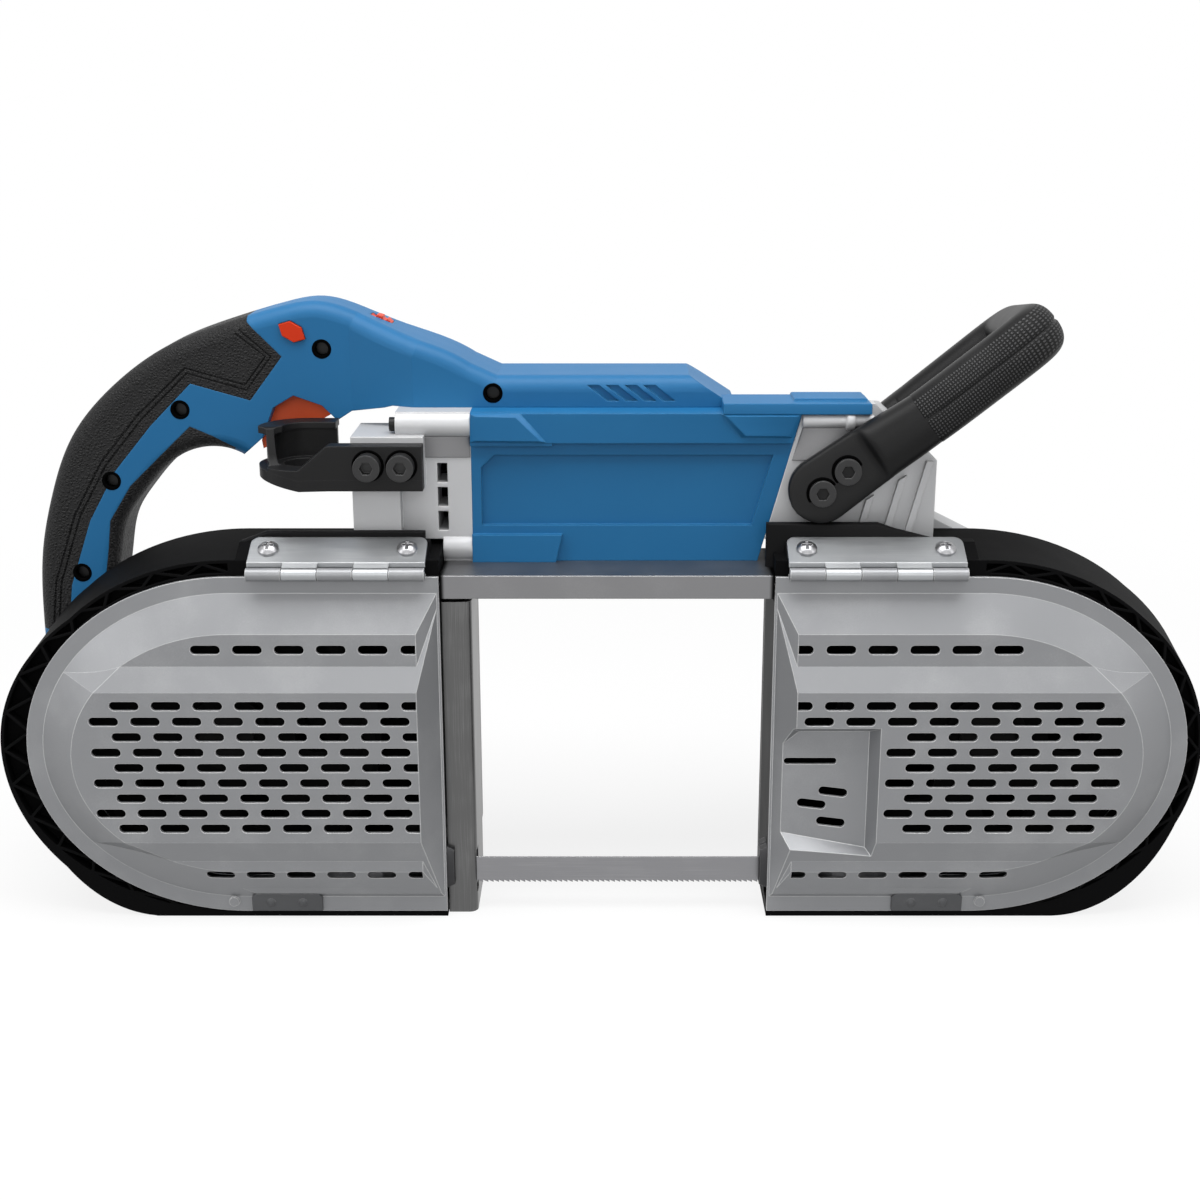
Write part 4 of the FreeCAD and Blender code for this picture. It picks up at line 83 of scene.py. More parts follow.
class Value:
    """A shader number that takes part in Python arithmetic."""

    def __init__(self, graph: "Graph", socket: bpy.types.NodeSocket) -> None:
        """Wraps one output socket of a graph."""
        self.graph = graph
        self.socket = socket

    def math(self, operation: str, *operands: Any) -> "Value":
        """Result of a Math node on numbers or values, in the node's order."""
        return self.graph.value("ShaderNodeMath", {"operation": operation}, dict(enumerate(operands)), 0)

    def __add__(self, other: Any) -> "Value":
        """Sum."""
        return self.math("ADD", self, other)

    __radd__ = __add__

    def __sub__(self, other: Any) -> "Value":
        """Difference."""
        return self.math("SUBTRACT", self, other)

    def __rsub__(self, other: Any) -> "Value":
        """Difference, reflected."""
        return self.math("SUBTRACT", other, self)

    def __mul__(self, other: Any) -> "Value":
        """Product."""
        return self.math("MULTIPLY", self, other)

    __rmul__ = __mul__

    def __pow__(self, other: Any) -> "Value":
        """Power."""
        return self.math("POWER", self, other)

    def sine(self) -> "Value":
        """Sine of an angle in radians."""
        return self.math("SINE", self)

    def swing(self, amount: Number) -> "Value":
        """Amount times how far the value lies from a half."""
        return (self - 0.5) * amount

    def clamped(self) -> "Value":
        """Value held between 0 and 1."""
        return self.math("MINIMUM", self.math("MAXIMUM", self, 0.0), 1.0)

    def ramp(self, low: Number, high: Number) -> "Value":
        """Smooth step from 0 at low to 1 at high."""
        settings = {"interpolation_type": "SMOOTHSTEP"}
        return self.graph.value("ShaderNodeMapRange", settings, {0: self, 1: low, 2: high, 3: 0.0, 4: 1.0}, 0)


class Graph:
    """Node tree of one material or of the surroundings, with the few helpers that the finishes need."""

    def __init__(self, owner: Union[bpy.types.Material, bpy.types.World]) -> None:
        """Empties the node tree of its owner.

        Args:
            owner: Material or surroundings to give nodes to.
        """
        owner.use_nodes = True
        self.owner = owner
        self.tree = owner.node_tree
        self.tree.nodes.clear()

    @classmethod
    def of_material(cls, name: str) -> "Graph":
        """Starts a new material."""
        return cls(bpy.data.materials.new(name))

    def node(self, kind: str, settings: Mapping[str, Any], inputs: Mapping[Any, Any]) -> bpy.types.Node:
        """Adds a node, sets its settings first and then its sockets.

        Args:
            kind: Blender's node type.
            settings: Attributes of the node.
            inputs: Values or links by socket name or number.

        Returns:
            The new node.
        """
        made = self.tree.nodes.new(kind)
        for key, setting in settings.items():
            setattr(made, key, setting)
        for key, entry in inputs.items():
            socket = made.inputs[key]
            if isinstance(entry, Value):
                self.tree.links.new(entry.socket, socket)
            else:
                socket.default_value = entry
        return made

    def value(self, kind: str, settings: Mapping[str, Any], inputs: Mapping[Any, Any], output: Any) -> Value:
        """Adds a node and hands back one of its outputs."""
        return Value(self, self.node(kind, settings, inputs).outputs[output])

    def place(self) -> Value:
        """Position on the piece, in metres."""
        return self.value("ShaderNodeTexCoord", {}, {}, "Object")

    def dot(self, first: Any, second: Any) -> Value:
        """Dot product of two vectors."""
        return self.value("ShaderNodeVectorMath", {"operation": "DOT_PRODUCT"}, {0: first, 1: second}, "Value")

    def stretched(self, scale: Sequence[float]) -> Value:
        """Position scaled by a different amount along each axis."""
        return self.value("ShaderNodeMapping", {}, {"Vector": self.place(), "Scale": tuple(scale)}, 0)

    def noise(self, size: float, detail: float = 2.0, vector: Union[Value, None] = None) -> Value:
        """Cloudy pattern.

        Args:
            size: About how far its lumps lie apart, in metres.
            detail: Number of finer layers.
            vector: Place to read it at, where that isn't the position on the piece.

        Returns:
            The pattern, around a half.
        """
        source = self.place() if vector is None else vector
        inputs = {"Vector": source, "Scale": 1.0 / size, "Detail": detail, "Roughness": NOISE_FALLOFF}
        return self.value("ShaderNodeTexNoise", {}, inputs, 0)

    def cells(self, size: float, disorder: float) -> Value:
        """Distance from the borders of cells about size metres across."""
        inputs = {"Vector": self.place(), "Scale": 1.0 / size, "Randomness": disorder}
        return self.value("ShaderNodeTexVoronoi", {"feature": "DISTANCE_TO_EDGE"}, inputs, "Distance")

    def mixed(self, factor: Value, first: Union[Value, Colour], second: Union[Value, Colour]) -> Value:
        """Colour between two colours by a factor."""
        first, second = (entry if isinstance(entry, Value) else (*entry, 1.0) for entry in (first, second))
        return self.value("ShaderNodeMix", {"data_type": "RGBA"}, {0: factor, 6: first, 7: second}, 2)

    def rounded_normal(self, radius: float) -> Value:
        """Surface direction averaged over a radius, so sharp edges catch the light."""
        return self.value("ShaderNodeBevel", {"samples": BEVEL_SAMPLES}, {"Radius": radius}, 0)

    def edges(self, normal: Value, low: float, high: float) -> Value:
        """Mask of the edges: how far the averaged direction turns from the true one.

        Args:
            normal: Averaged direction.
            low: Turn, as one less the cosine, at which the mask starts.
            high: Turn at which the mask is whole.

        Returns:
            The mask.
        """
        true = self.value("ShaderNodeNewGeometry", {}, {}, "Normal")
        return (1.0 - self.dot(normal, true)).ramp(low, high)

    def bumped(self, height: Value, depth: float, normal: Value) -> Value:
        """Surface direction with a relief of that depth in metres."""
        inputs = {"Strength": 1.0, "Distance": depth, "Height": height, "Normal": normal}
        return self.value("ShaderNodeBump", {}, inputs, 0)

    def surface_place(self) -> list[Value]:
        """Reads the measures that a swept piece carries in its mesh.

        Returns:
            Lengthwise place, crosswise place and panel mask.
        """
        place = self.value("ShaderNodeAttribute", {"attribute_name": SURFACE_PLACE}, {}, "Vector")
        split = self.node("ShaderNodeSeparateXYZ", {}, {0: place})
        return [Value(self, output) for output in split.outputs]

    def finish(self, inputs: Mapping[str, Any]) -> bpy.types.Material:
        """Closes the material with one Principled shader.

        Args:
            inputs: Values or links of the shader's sockets.

        Returns:
            The material.
        """
        shader = self.value("ShaderNodeBsdfPrincipled", {}, inputs, 0)
        self.node("ShaderNodeOutputMaterial", {}, {"Surface": shader})
        return self.owner


@dataclass(frozen=True)
class Finish:
    """A surface with soft clouds, paler edges and a fine pattern that is also its relief.

    Paling says how far edges, clouds and pattern move the colour towards the edge colour, and dulling how far
    clouds and pattern move the roughness.
    """

    name: str
    colour: Colour
    edge_colour: Colour
    roughness: float
    metallic: float = 0.0
    specular: float = 0.5
    relief_depth: float = 0.03 * MM
    edge_radius: float = 0.7 * MM
    edge_turn: Pair = (0.02, 0.25)
    cloud_size: float = 35 * MM
    cloud_detail: float = 2.0
    edge_paling: float = 0.6
    cloud_paling: float = 0.25
    pattern_paling: float = 0.0
    cloud_dulling: float = 0.12
    pattern_dulling: float = 0.08

    def pattern(self, graph: Graph) -> Value:
        """Height of the fine pattern, from 0 to 1; each kind of finish has its own."""
        raise NotImplementedError

    def tint(self, graph: Graph, shade: Value) -> Value:
        """Colour for a shade from 0, plain, to 1, as pale as the edges."""
        return graph.mixed(shade, self.colour, self.edge_colour)

    def material(self) -> bpy.types.Material:
        """Builds the finish.

        Returns:
            The material.
        """
        graph = Graph.of_material(self.name)
        rounded = graph.rounded_normal(self.edge_radius)
        pattern = self.pattern(graph)
        clouds = graph.noise(self.cloud_size, self.cloud_detail)
        # edges paler: wear on most finishes, and a painted highlight on the covers
        edge_wear_and_highlight = graph.edges(rounded, *self.edge_turn) * self.edge_paling
        shade = edge_wear_and_highlight + clouds.swing(self.cloud_paling) + pattern.swing(self.pattern_paling)
        return graph.finish({
            "Base Color": self.tint(graph, shade.clamped()),
            "Metallic": self.metallic,
            "Roughness": self.roughness + clouds.swing(self.cloud_dulling) + pattern.swing(self.pattern_dulling),
            "Specular IOR Level": self.specular,
            "Normal": graph.bumped(pattern, self.relief_depth, rounded),
        })


@dataclass(frozen=True)
class Moulding(Finish):
    """Moulded plastic or rubber with a relief from its mould and paler edges."""

    specular: float = 0.35
    grain: Grain = Grain.SPARK
    grain_size: float = 0.5 * MM
    spark_detail: float = 3.0
    cell_disorder: float = 0.9
    cell_border: float = 0.35

    def pattern(self, graph: Graph) -> Value:
        """Works out the mould's relief.

        Args:
            graph: Graph of the material.

        Returns:
            Height, from 0 to 1.
        """
        if self.grain is Grain.LEATHER:
            return graph.cells(self.grain_size, self.cell_disorder).ramp(0.0, self.cell_border)
        return graph.noise(self.grain_size, self.spark_detail)


@dataclass(frozen=True)
class CastMetal(Finish):
    """Blasted or coated metal: evenly dull, with a fine frosted grain and paler edges."""

    metallic: float = 1.0
    edge_radius: float = 0.8 * MM
    cloud_size: float = 28 * MM
    cloud_detail: float = 3.0
    edge_paling: float = 0.7
    cloud_paling: float = 0.35
    pattern_paling: float = 0.2
    cloud_dulling: float = 0.14
    pattern_dulling: float = 0.1
    grain_size: float = 0.6 * MM
    grain_detail: float = 4.0
    # painted shade inside the wheel guards: where it starts, its soft border and its colour
    dark_beyond: float = 0.0
    dark_border: float = 2 * MM
    dark_colour: Colour = (0.004, 0.004, 0.004)

    def pattern(self, graph: Graph) -> Value:
        """Height of the frosted grain."""
        return graph.noise(self.grain_size, self.grain_detail)

    def tint(self, graph: Graph, shade: Value) -> Value:
        """Works out the colour; past the set distance to either side of the saw's middle, inside the wheel guards, the
        metal is painted near black as shade.

        Args:
            graph: Graph of the material.
            shade: How pale the metal is, from 0 to 1.

        Returns:
            The colour.
        """
        if not self.dark_beyond:
            return super().tint(graph, shade)
        # painted shade: the frame's plates inside the wheel guards turn near black to stand in for the shade there
        aside = graph.dot(graph.place(), Axis.X.value)
        inside = ((aside * aside) ** 0.5).ramp(self.dark_beyond, self.dark_beyond + self.dark_border)
        plain = super().tint(graph, shade * (1.0 - inside))
        return graph.mixed(inside, plain, self.dark_colour)


@dataclass(frozen=True)
class BrushedMetal(Finish):
    """Rolled, ground or turned metal with streaks along one axis."""

    metallic: float = 1.0
    relief_depth: float = 0.004 * MM
    edge_radius: float = 0.4 * MM
    cloud_size: float = 20 * MM
    cloud_paling: float = 0.3
    pattern_paling: float = 0.5
    cloud_dulling: float = 0.08
    pattern_dulling: float = 0.16
    axis: Axis = Axis.X
    streak: float = 0.25 * MM
    streak_length: float = 25 * MM

    def pattern(self, graph: Graph) -> Value:
        """Works out the streaks: a cloudy pattern drawn out along the axis.

        Args:
            graph: Graph of the material.

        Returns:
            Height, from 0 to 1.
        """
        along = np.array(self.axis.value)
        scale = along / self.streak_length + (1.0 - along) / self.streak
        return graph.noise(1.0, vector=graph.stretched(scale.tolist()))


@dataclass(frozen=True)
class KnurledRubber(Finish):
    """Soft sleeve with panels of small raised dots between smooth borders."""

    specular: float = 0.4
    relief_depth: float = 0.3 * MM
    edge_radius: float = 0.4 * MM
    cloud_size: float = 30 * MM
    cloud_paling: float = 0.3
    cloud_dulling: float = 0.1
    dot_pitch: float = 1.4 * MM
    dot_foot: float = 0.05
    dot_top: float = 0.6
    dot_paling: float = 0.5
    panel_dulling: float = 0.15

    def material(self) -> bpy.types.Material:
        """Builds the finish; the dots follow the sleeve's own lengthwise and crosswise measure.

        Returns:
            The material.
        """
        graph = Graph.of_material(self.name)
        along, across, panel = graph.surface_place()
        wave = math.pi / self.dot_pitch
        rows = (along * wave).sine() * (across * wave).sine()
        dots = (rows * rows).ramp(self.dot_foot, self.dot_top) * panel
        clouds = graph.noise(self.cloud_size)
        shade = dots * self.dot_paling + clouds.swing(self.cloud_paling)
        rounded = graph.rounded_normal(self.edge_radius)
        return graph.finish({
            "Base Color": self.tint(graph, shade.clamped()),
            "Roughness": self.roughness + panel * self.panel_dulling + clouds.swing(self.cloud_dulling),
            "Specular IOR Level": self.specular,
            "Normal": graph.bumped(dots, self.relief_depth, rounded),
        })


BLACK: Colour = (0.004, 0.004, 0.0043)
SOOT: Colour = (0.02, 0.02, 0.021)
PALE: Colour = (0.7, 0.7, 0.7)

DECK_BLACK = Moulding("deck black", BLACK, SOOT, 0.6, specular=0.1)
BUMPER_RUBBER = Moulding("bumper rubber", (0.002, 0.002, 0.0022), (0.006, 0.006, 0.006), 0.7, grain_size=0.7 * MM,
                         specular=0.05)
# painted highlight: the pale edge colour and fine edge mask draw light lines along the cover's edges
COVER_GREY = CastMetal("cover grey", (0.255, 0.26, 0.27), (0.75, 0.75, 0.75), 0.4, 0.4, grain_size=0.4 * MM,
                       relief_depth=0.012 * MM, edge_radius=0.5 * MM, edge_turn=(0.002, 0.03))
TAB_GREY = CastMetal("tab grey", (0.07, 0.072, 0.076), (0.2, 0.2, 0.2), 0.45, 0.3)
HINGE_ZINC = BrushedMetal("hinge zinc", (0.33, 0.34, 0.35), PALE, 0.4)
PLATED_SCREW = BrushedMetal("plated screw", (0.32, 0.32, 0.33), PALE, 0.3, axis=Axis.Z)
# the frame's plates inside the wheel guards carry painted shade, near black
FRAME_CASTING = CastMetal("frame casting", (0.2, 0.2, 0.205), (0.45, 0.45, 0.45), 0.45, dark_beyond=72 * MM)
BLASTED_CASTING = CastMetal("blasted casting", (0.5, 0.505, 0.515), (0.72, 0.72, 0.72), 0.5, 0.3,
                            edge_turn=(0.004, 0.08))
PANEL_CASTING = CastMetal("panel casting", (0.2, 0.2, 0.205), (0.4, 0.4, 0.4), 0.5, 0.6)
# painted shade: the wheels are near black so that the slots in the covers read as shaded inside
WHEEL_GUARD_SHADE = CastMetal("wheel casting darkened as guard shade", (0.008, 0.008, 0.008), (0.02, 0.02, 0.02), 0.7, 0.0, specular=0.05)
# partly painted light: the trigger's own orange is made paler than the lock button's to offset the handle's shade on it
TRIGGER_ORANGE_LIGHTENED = Moulding("trigger orange lightened against shade", (0.95, 0.12, 0.03), (0.95, 0.2, 0.08), 0.42)
TYRE_RUBBER = Moulding("tyre rubber", BLACK, SOOT, 0.7, specular=0.05)
# painted shade: shafts, bearings and slide inside the guards are near black so that the slots read as shaded
GUARD_SHADE_STEEL = CastMetal("steel darkened as guard shade", (0.008, 0.008, 0.008), (0.02, 0.02, 0.02), 0.6, 0.0, specular=0.1)
TURNED_STEEL = BrushedMetal("turned steel", (0.2, 0.2, 0.205), (0.5, 0.5, 0.5), 0.35, axis=Axis.Y)
GUIDE_STEEL = CastMetal("guide steel", (0.05, 0.05, 0.052), (0.2, 0.2, 0.2), 0.45)
BAND_STEEL = BrushedMetal("band steel", (0.24, 0.24, 0.25), (0.5, 0.5, 0.5), 0.36)
SHOE_STEEL = BrushedMetal("shoe steel", (0.12, 0.12, 0.12), (0.5, 0.5, 0.5), 0.34, axis=Axis.Z)
GEAR_STEEL = BrushedMetal("gear steel", (0.3, 0.3, 0.31), (0.6, 0.6, 0.6), 0.34, axis=Axis.Y)
STATOR_PACK = CastMetal("stator pack", (0.2, 0.13, 0.09), (0.4, 0.28, 0.2), 0.5, 0.6)
SPEED_ORANGE = Moulding("speed orange", (0.6, 0.04, 0.008), (0.7, 0.1, 0.04), 0.45)
BLUE_MOULDING = Moulding("blue moulding", (0.008, 0.122, 0.29), (0.03, 0.21, 0.42), 0.5, specular=0.3)
GRIP_RUBBER = Moulding("grip rubber", BLACK, SOOT, 0.55, specular=0.25, grain=Grain.LEATHER, grain_size=1.5 * MM,
                       relief_depth=0.3 * MM)
LOOP_RUBBER = KnurledRubber("loop rubber", (0.003, 0.003, 0.0032), (0.12, 0.12, 0.122), 0.45, specular=0.15)
DULL_MOULDING = Moulding("dull moulding", BLACK, SOOT, 0.6, specular=0.15)
ORANGE_MOULDING = Moulding("orange moulding", (0.58, 0.034, 0.007), (0.75, 0.1, 0.04), 0.45, specular=0.15)
BOARD_COAT = Moulding("board coat", (0.02, 0.16, 0.06), (0.1, 0.3, 0.15), 0.35)
HOOK_COAT = CastMetal("hook coat", (0.006, 0.006, 0.0063), (0.04, 0.04, 0.041), 0.45, 0.0, specular=0.2)
LOOP_COAT = CastMetal("loop coat", (0.004, 0.004, 0.0042), (0.03, 0.03, 0.031), 0.42, 0.0, specular=0.18)
# painted shade: near black rings that stand for the shade in screw wells and round bolt heads
WELL_SHADE_BLACK = Moulding("well shade black", (0.001, 0.001, 0.001), (0.003, 0.003, 0.003), 0.9, specular=0.02)
BOLT_BLACK = CastMetal("bolt black", (0.014, 0.014, 0.0145), (0.08, 0.08, 0.08), 0.38, 0.0, specular=0.4)
SCREW_BLACK = CastMetal("screw black", (0.004, 0.004, 0.004), (0.03, 0.03, 0.03), 0.4, 0.0, specular=0.25)


def metres(*places: Sequence[float]) -> tuple[tuple[float, ...], ...]:
    """Turns places given in millimetres into metres."""
    return tuple(tuple(number * MM for number in place) for place in places)


def linked(name: str, data: bpy.types.ID) -> bpy.types.Object:
    """Puts new data into the scene.

    Args:
        name: Name of the new object.
        data: Its mesh, lamp or camera.

    Returns:
        The object.
    """
    made = bpy.data.objects.new(name, data)
    bpy.context.scene.collection.objects.link(made)
    return made


def rounded_path(corners: np.ndarray, rounding: float, step: float) -> np.ndarray:
    """Smooth line near a row of corners.

    The straight runs are sampled at equal steps, and each sample is then averaged with its neighbours over
    the rounding length, twice, which turns every corner into an even curve and leaves straight runs alone.

    Args:
        corners: Corner points, one row each, in metres.
        rounding: Length over which a corner is spread.
        step: Distance between samples.

    Returns:
        Samples of the line, one row each.
    """
    marks = arc_lengths(corners)
    along = np.linspace(0.0, marks[-1], int(marks[-1] / step) + 1)
    line = np.stack([np.interp(along, marks, corners[:, axis]) for axis in range(3)], axis=1)
    half = max(1, int(rounding / step / 2))
    window = np.ones(2 * half + 1) / (2 * half + 1)
    for _ in range(2):
        padded = np.pad(line, ((half, half), (0, 0)), mode="reflect", reflect_type="odd")
        line = np.stack([np.convolve(padded[:, axis], window, "valid") for axis in range(3)], axis=1)
    return line


def arc_lengths(line: np.ndarray) -> np.ndarray:
    """Distance of each sample of a line from its start: the sum of the steps so far."""
    return np.concatenate([[0.0], np.cumsum(np.linalg.norm(np.diff(line, axis=0), axis=1))])


def bent(amount: np.ndarray, power: np.ndarray) -> np.ndarray:
    """Sine or cosine raised to a power with its sign kept, which squares a circle's corners."""
    return np.sign(amount) * np.abs(amount) ** power


def eased(amount: np.ndarray, start: float, length: float) -> np.ndarray:
    """Straight rise from 0 at the start to 1 one length later, level before and beyond."""
    return np.clip((amount - start) / length, 0.0, 1.0)


def full_turn(around: int) -> np.ndarray:
    """Equally spaced angles once round a circle."""
    return np.linspace(0.0, 2.0 * math.pi, around, endpoint=False)


def skinned(name: str, skins: Sequence[np.ndarray], places: Union[np.ndarray, None] = None) -> bpy.types.Object:
    """Closed skins over rings of points.

    Each skin is a grid of rings; a face joins two neighbouring points of a ring with the same two points of
    the next ring, and one many-sided face closes each end, unless the last ring meets the first. The rings of
    a skin whose enclosed volume comes out negative are turned round, so that every face points outwards.

    Args:
        name: Name of the new piece.
        skins: Grids of points, rings by points round by three.
        places: Surface place of each point, in the order of the skins, where the finish needs it.

    Returns:
        The piece, linked to the scene.
    """
    points: list[np.ndarray] = []
    faces: list[list[int]] = []
    start = 0
    for grid in skins:
        looped = np.allclose(grid[0], grid[-1])
        rings = grid[:-1] if looped else grid
        own = rings.reshape(-1, 3)
        index = start + np.arange(len(own)).reshape(rings.shape[:2])
        ends = [] if looped else [index[0][::-1], index[-1]]
        if looped:
            index = np.concatenate([index, index[:1]])
        right = np.roll(index, -1, axis=1)
        quads = np.stack([index[:-1], right[:-1], right[1:], index[1:]], axis=-1).reshape(-1, 4)
        inner = own[quads - start] - own.mean(axis=0)
        volume = np.einsum("ij,ij->i", inner[:, 0], np.cross(inner[:, 1] - inner[:, 3], inner[:, 2])).sum()
        if volume < 0.0:
            quads = quads[:, ::-1]
            ends = [end[::-1] for end in ends]
        faces += quads.tolist() + [end.tolist() for end in ends]
        points.append(own)
        start += len(own)
    mesh = bpy.data.meshes.new(name)
    mesh.from_pydata(np.concatenate(points).tolist(), [], faces)
    if places is not None:
        layer = mesh.attributes.new(SURFACE_PLACE, "FLOAT_VECTOR", "POINT")
        layer.data.foreach_set("vector", places.astype(np.float32).ravel())
    mesh.polygons.foreach_set("use_smooth", np.ones(len(mesh.polygons), dtype=bool))
    mesh.set_sharp_from_angle(angle=SHARP_ANGLE)
    return linked(name, mesh)


def plate(outline: Sequence[Sequence[float]], front: float, back: float, chamfer: float,
          axis: Axis = Axis.Y) -> np.ndarray:
    """Flat plate in the saw's front plane, or level where its axis is Z.

    Three rings carry the outline back: drawn in by the chamfer at the front, whole one chamfer behind it, and
    whole at the back. Drawing in moves each corner towards the outline's middle by the chamfer's slant.

    Args:
        outline: Corners in metres, in order: x and z, or x and y for a level plate.
        front: Place of the front or top face along the axis.
        back: Place of the back or bottom face along the axis.
        chamfer: Width of the front edge's bevel.
        axis: Direction of the plate's thickness.

    Returns:
        Rings by corners by three.
    """
    whole = np.array(outline)
    away = whole - whole.mean(axis=0)
    drawn = whole - away / np.linalg.norm(away, axis=1, keepdims=True) * chamfer * math.sqrt(2.0)
    bevel = math.copysign(chamfer, back - front)
    rings = ((drawn, front), (whole, front + bevel), (whole, back))
    order = [0, 2, 1] if axis is Axis.Y else [0, 1, 2]
    return np.stack([np.column_stack([ring, np.full(len(ring), place)])[:, order] for ring, place in rings])


def turned(middle: Point, axis: Axis, stations: Union[np.ndarray, Sequence[Pair]], around: int) -> np.ndarray:
    """Turned form: circles square to an axis.

    Each station gives a circle's place along the axis and its radius; a point of the circle is the middle,
    plus the place along the axis, plus the radius times cosine and sine along the two other directions.

    Args:
        middle: Point from which the places are counted.
        axis: Direction of the axis.
        stations: Place and radius of each circle, in metres.
        around: Number of points on a circle.

    Returns:
        Rings by points round by three.
    """
    table = np.array(stations)
    along = np.array(axis.value)
    first = np.roll(along, 1)
    second = np.cross(along, first)
    angle = full_turn(around)
    circle = np.cos(angle)[:, None] * first + np.sin(angle)[:, None] * second
    places = np.array(middle) + table[:, :1] * along
    return places[:, None] + circle[None] * table[:, 1][:, None, None]


def rim_ring(place: Point, bore: float, rim: float, depth: float, proud: float = 0.15 * MM) -> np.ndarray:
    """Ring round a bore along Y: its flat mouth stands a hair proud, with both edges broken by that hair.

    Args:
        place: Middle of the mouth on the surface that carries it.
        bore: Inner radius.
        rim: Outer radius.
        depth: How far the ring goes in.
        proud: How far the mouth stands out.

    Returns:
        Rings by points round by three; the last ring meets the first.
    """
    stations = ((depth, bore), (0.0, bore), (-proud, bore + proud), (-proud, rim - proud), (0.0, rim), (depth, rim),
                (depth, bore))
    return turned(place, Axis.Y, stations, RIM_AROUND)


class PaintShop:
    """Builds each finish once and puts it on nodes and pieces."""

    def __init__(self) -> None:
        """Starts with no finish made."""
        self.made: dict[str, bpy.types.Material] = {}

    def coat(self, target: bpy.types.Object, finish: Finish) -> None:
        """Puts a finish on an object.

        Args:
            target: CAD node or new piece.
            finish: Finish to put on it.
        """
        if finish.name not in self.made:
            self.made[finish.name] = finish.material()
        target.data.materials.clear()
        target.data.materials.append(self.made[finish.name])
        LOG.info("%s: %s", target.name, finish.name)


Dressing = Mapping[Finish, tuple[str, ...]]


@dataclass(frozen=True)
class SubAssembly:
    """Nodes of the frame that are finished and fitted out together."""

    dressing: ClassVar[Dressing] = {}
    shop: PaintShop
    nodes: Mapping[str, bpy.types.Object]

    def fittings(self) -> None:
        """Builds the small pieces that the frame lacks; a group may have none."""

    def fit(self, piece: bpy.types.Object, body: str, slot: str, finish: Finish) -> None:
        """Puts a new piece on the saw.

        Args:
            piece: The new piece.
            body: Body that it moves with.
            slot: Name of its material slot; not used.
            finish: Finish to put on it.
        """
        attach(piece, body)
        self.shop.coat(piece, finish)

    def build(self) -> None:
        """Dresses the nodes, then adds the fittings."""
        for finish, names in self.dressing.items():
            for name in names:
                self.shop.coat(self.nodes[name], finish)
        self.fittings()


@dataclass(frozen=True)
class WheelGuards(SubAssembly):
    """Decks, bumpers, slotted covers and their hinges."""

    dressing: ClassVar[Dressing] = {
        DECK_BLACK: ("rear_deck", "front_deck"),
        BUMPER_RUBBER: ("rear_bumper", "front_bumper"),
        COVER_GREY: ("rear_cover", "front_cover"),
        HINGE_ZINC: ("hinge_leaves", "hinge_pins"),
        PLATED_SCREW: ("hinge_screws",),
    }
    tab_x: float = 150.0 * MM
    tab_half: float = 16.5 * MM
    tab_low: float = 4.2 * MM
    tab_height: float = 9.0 * MM
    tab_slant: float = 2.0 * MM
    tab_front: float = -61.5 * MM
    tab_back: float = -59.0 * MM
    tab_chamfer: float = 0.5 * MM
    rivet_share: float = 0.45
    rivet_radius: float = 2.0 * MM
    rivet_rise: float = 1.0 * MM
    rivet_flat: float = 1.0 / 36.0
    rivet_rings: int = 6
    rivet_around: int = 24
    rib_front: float = -45.4 * MM
    rib_back: float = -41.6 * MM
    rib_chamfer: float = 0.8 * MM
    rear_rib: tuple[Pair, ...] = metres(
        (-166.0, 165.8), (-82.0, 165.8), (-82.0, 183.6), (-153.5, 183.6), (-166.0, 178.8))
    front_rib: tuple[Pair, ...] = metres(
        (71.8, 165.8), (160.0, 165.8), (160.0, 177.0), (130.0, 184.6), (122.0, 187.4), (71.8, 187.4))

    def tab(self, end: str, side: float) -> bpy.types.Object:
        """Builds the tab riveted to the flange at a cover's foot: a plate with slanted top corners, two rivets.

        A rivet's head is turned: its height is the rise times the sine of the crown's angle, and its radius
        the full one times the cosine plus a small share, which leaves a flat on top.

        Args:
            end: Name of the cover's end of the saw.
            side: -1 at the rear, 1 at the front.

        Returns:
            The piece, linked to the scene.
        """
        low, high = self.tab_low, self.tab_low + self.tab_height
        reach, slant = self.tab_half, self.tab_slant
        corners = np.array([(-reach, low), (reach, low), (reach, high - slant), (reach - slant, high),
                            (slant - reach, high), (-reach, high - slant)])
        corners[:, 0] += side * self.tab_x
        grids = [plate(corners, self.tab_front, self.tab_back, self.tab_chamfer)]
        crown = np.linspace(0.0, math.pi / 2.0, self.rivet_rings)
        radius = self.rivet_radius * (np.cos(crown) + self.rivet_flat)
        dome = np.column_stack([-self.rivet_rise * np.sin(crown), radius])
        for share in (-self.rivet_share, self.rivet_share):
            middle = (side * self.tab_x + share * reach, self.tab_front, (low + high) / 2.0)
            grids.append(turned(middle, Axis.Y, dome, self.rivet_around))
        return skinned(f"{end}_cover_tab", grids)

    def ribs(self) -> bpy.types.Object:
        """Builds the ribs that stand on the decks behind the hinges: plates with sloping outer ends."""
        outlines = (self.rear_rib, self.front_rib)
        return skinned("deck_ribs", [plate(line, self.rib_front, self.rib_back, self.rib_chamfer) for line in outlines])

    def fittings(self) -> None:
        """Adds the ribs and the two tabs."""
        self.fit(self.ribs(), "saw_frame", "black_plastic", DECK_BLACK)
        for end, side in ENDS:
            self.fit(self.tab(end, side), f"{end}_cover_body", "cover_steel", TAB_GREY)


@dataclass(frozen=True)
class ThroatFrame(SubAssembly):
    """Cast frame over the throat, with the stop plate."""

    dressing: ClassVar[Dressing] = {
        FRAME_CASTING: ("main_frame",),
        SHOE_STEEL: ("shoe",),
        PLATED_SCREW: ("shoe_screws",),
    }


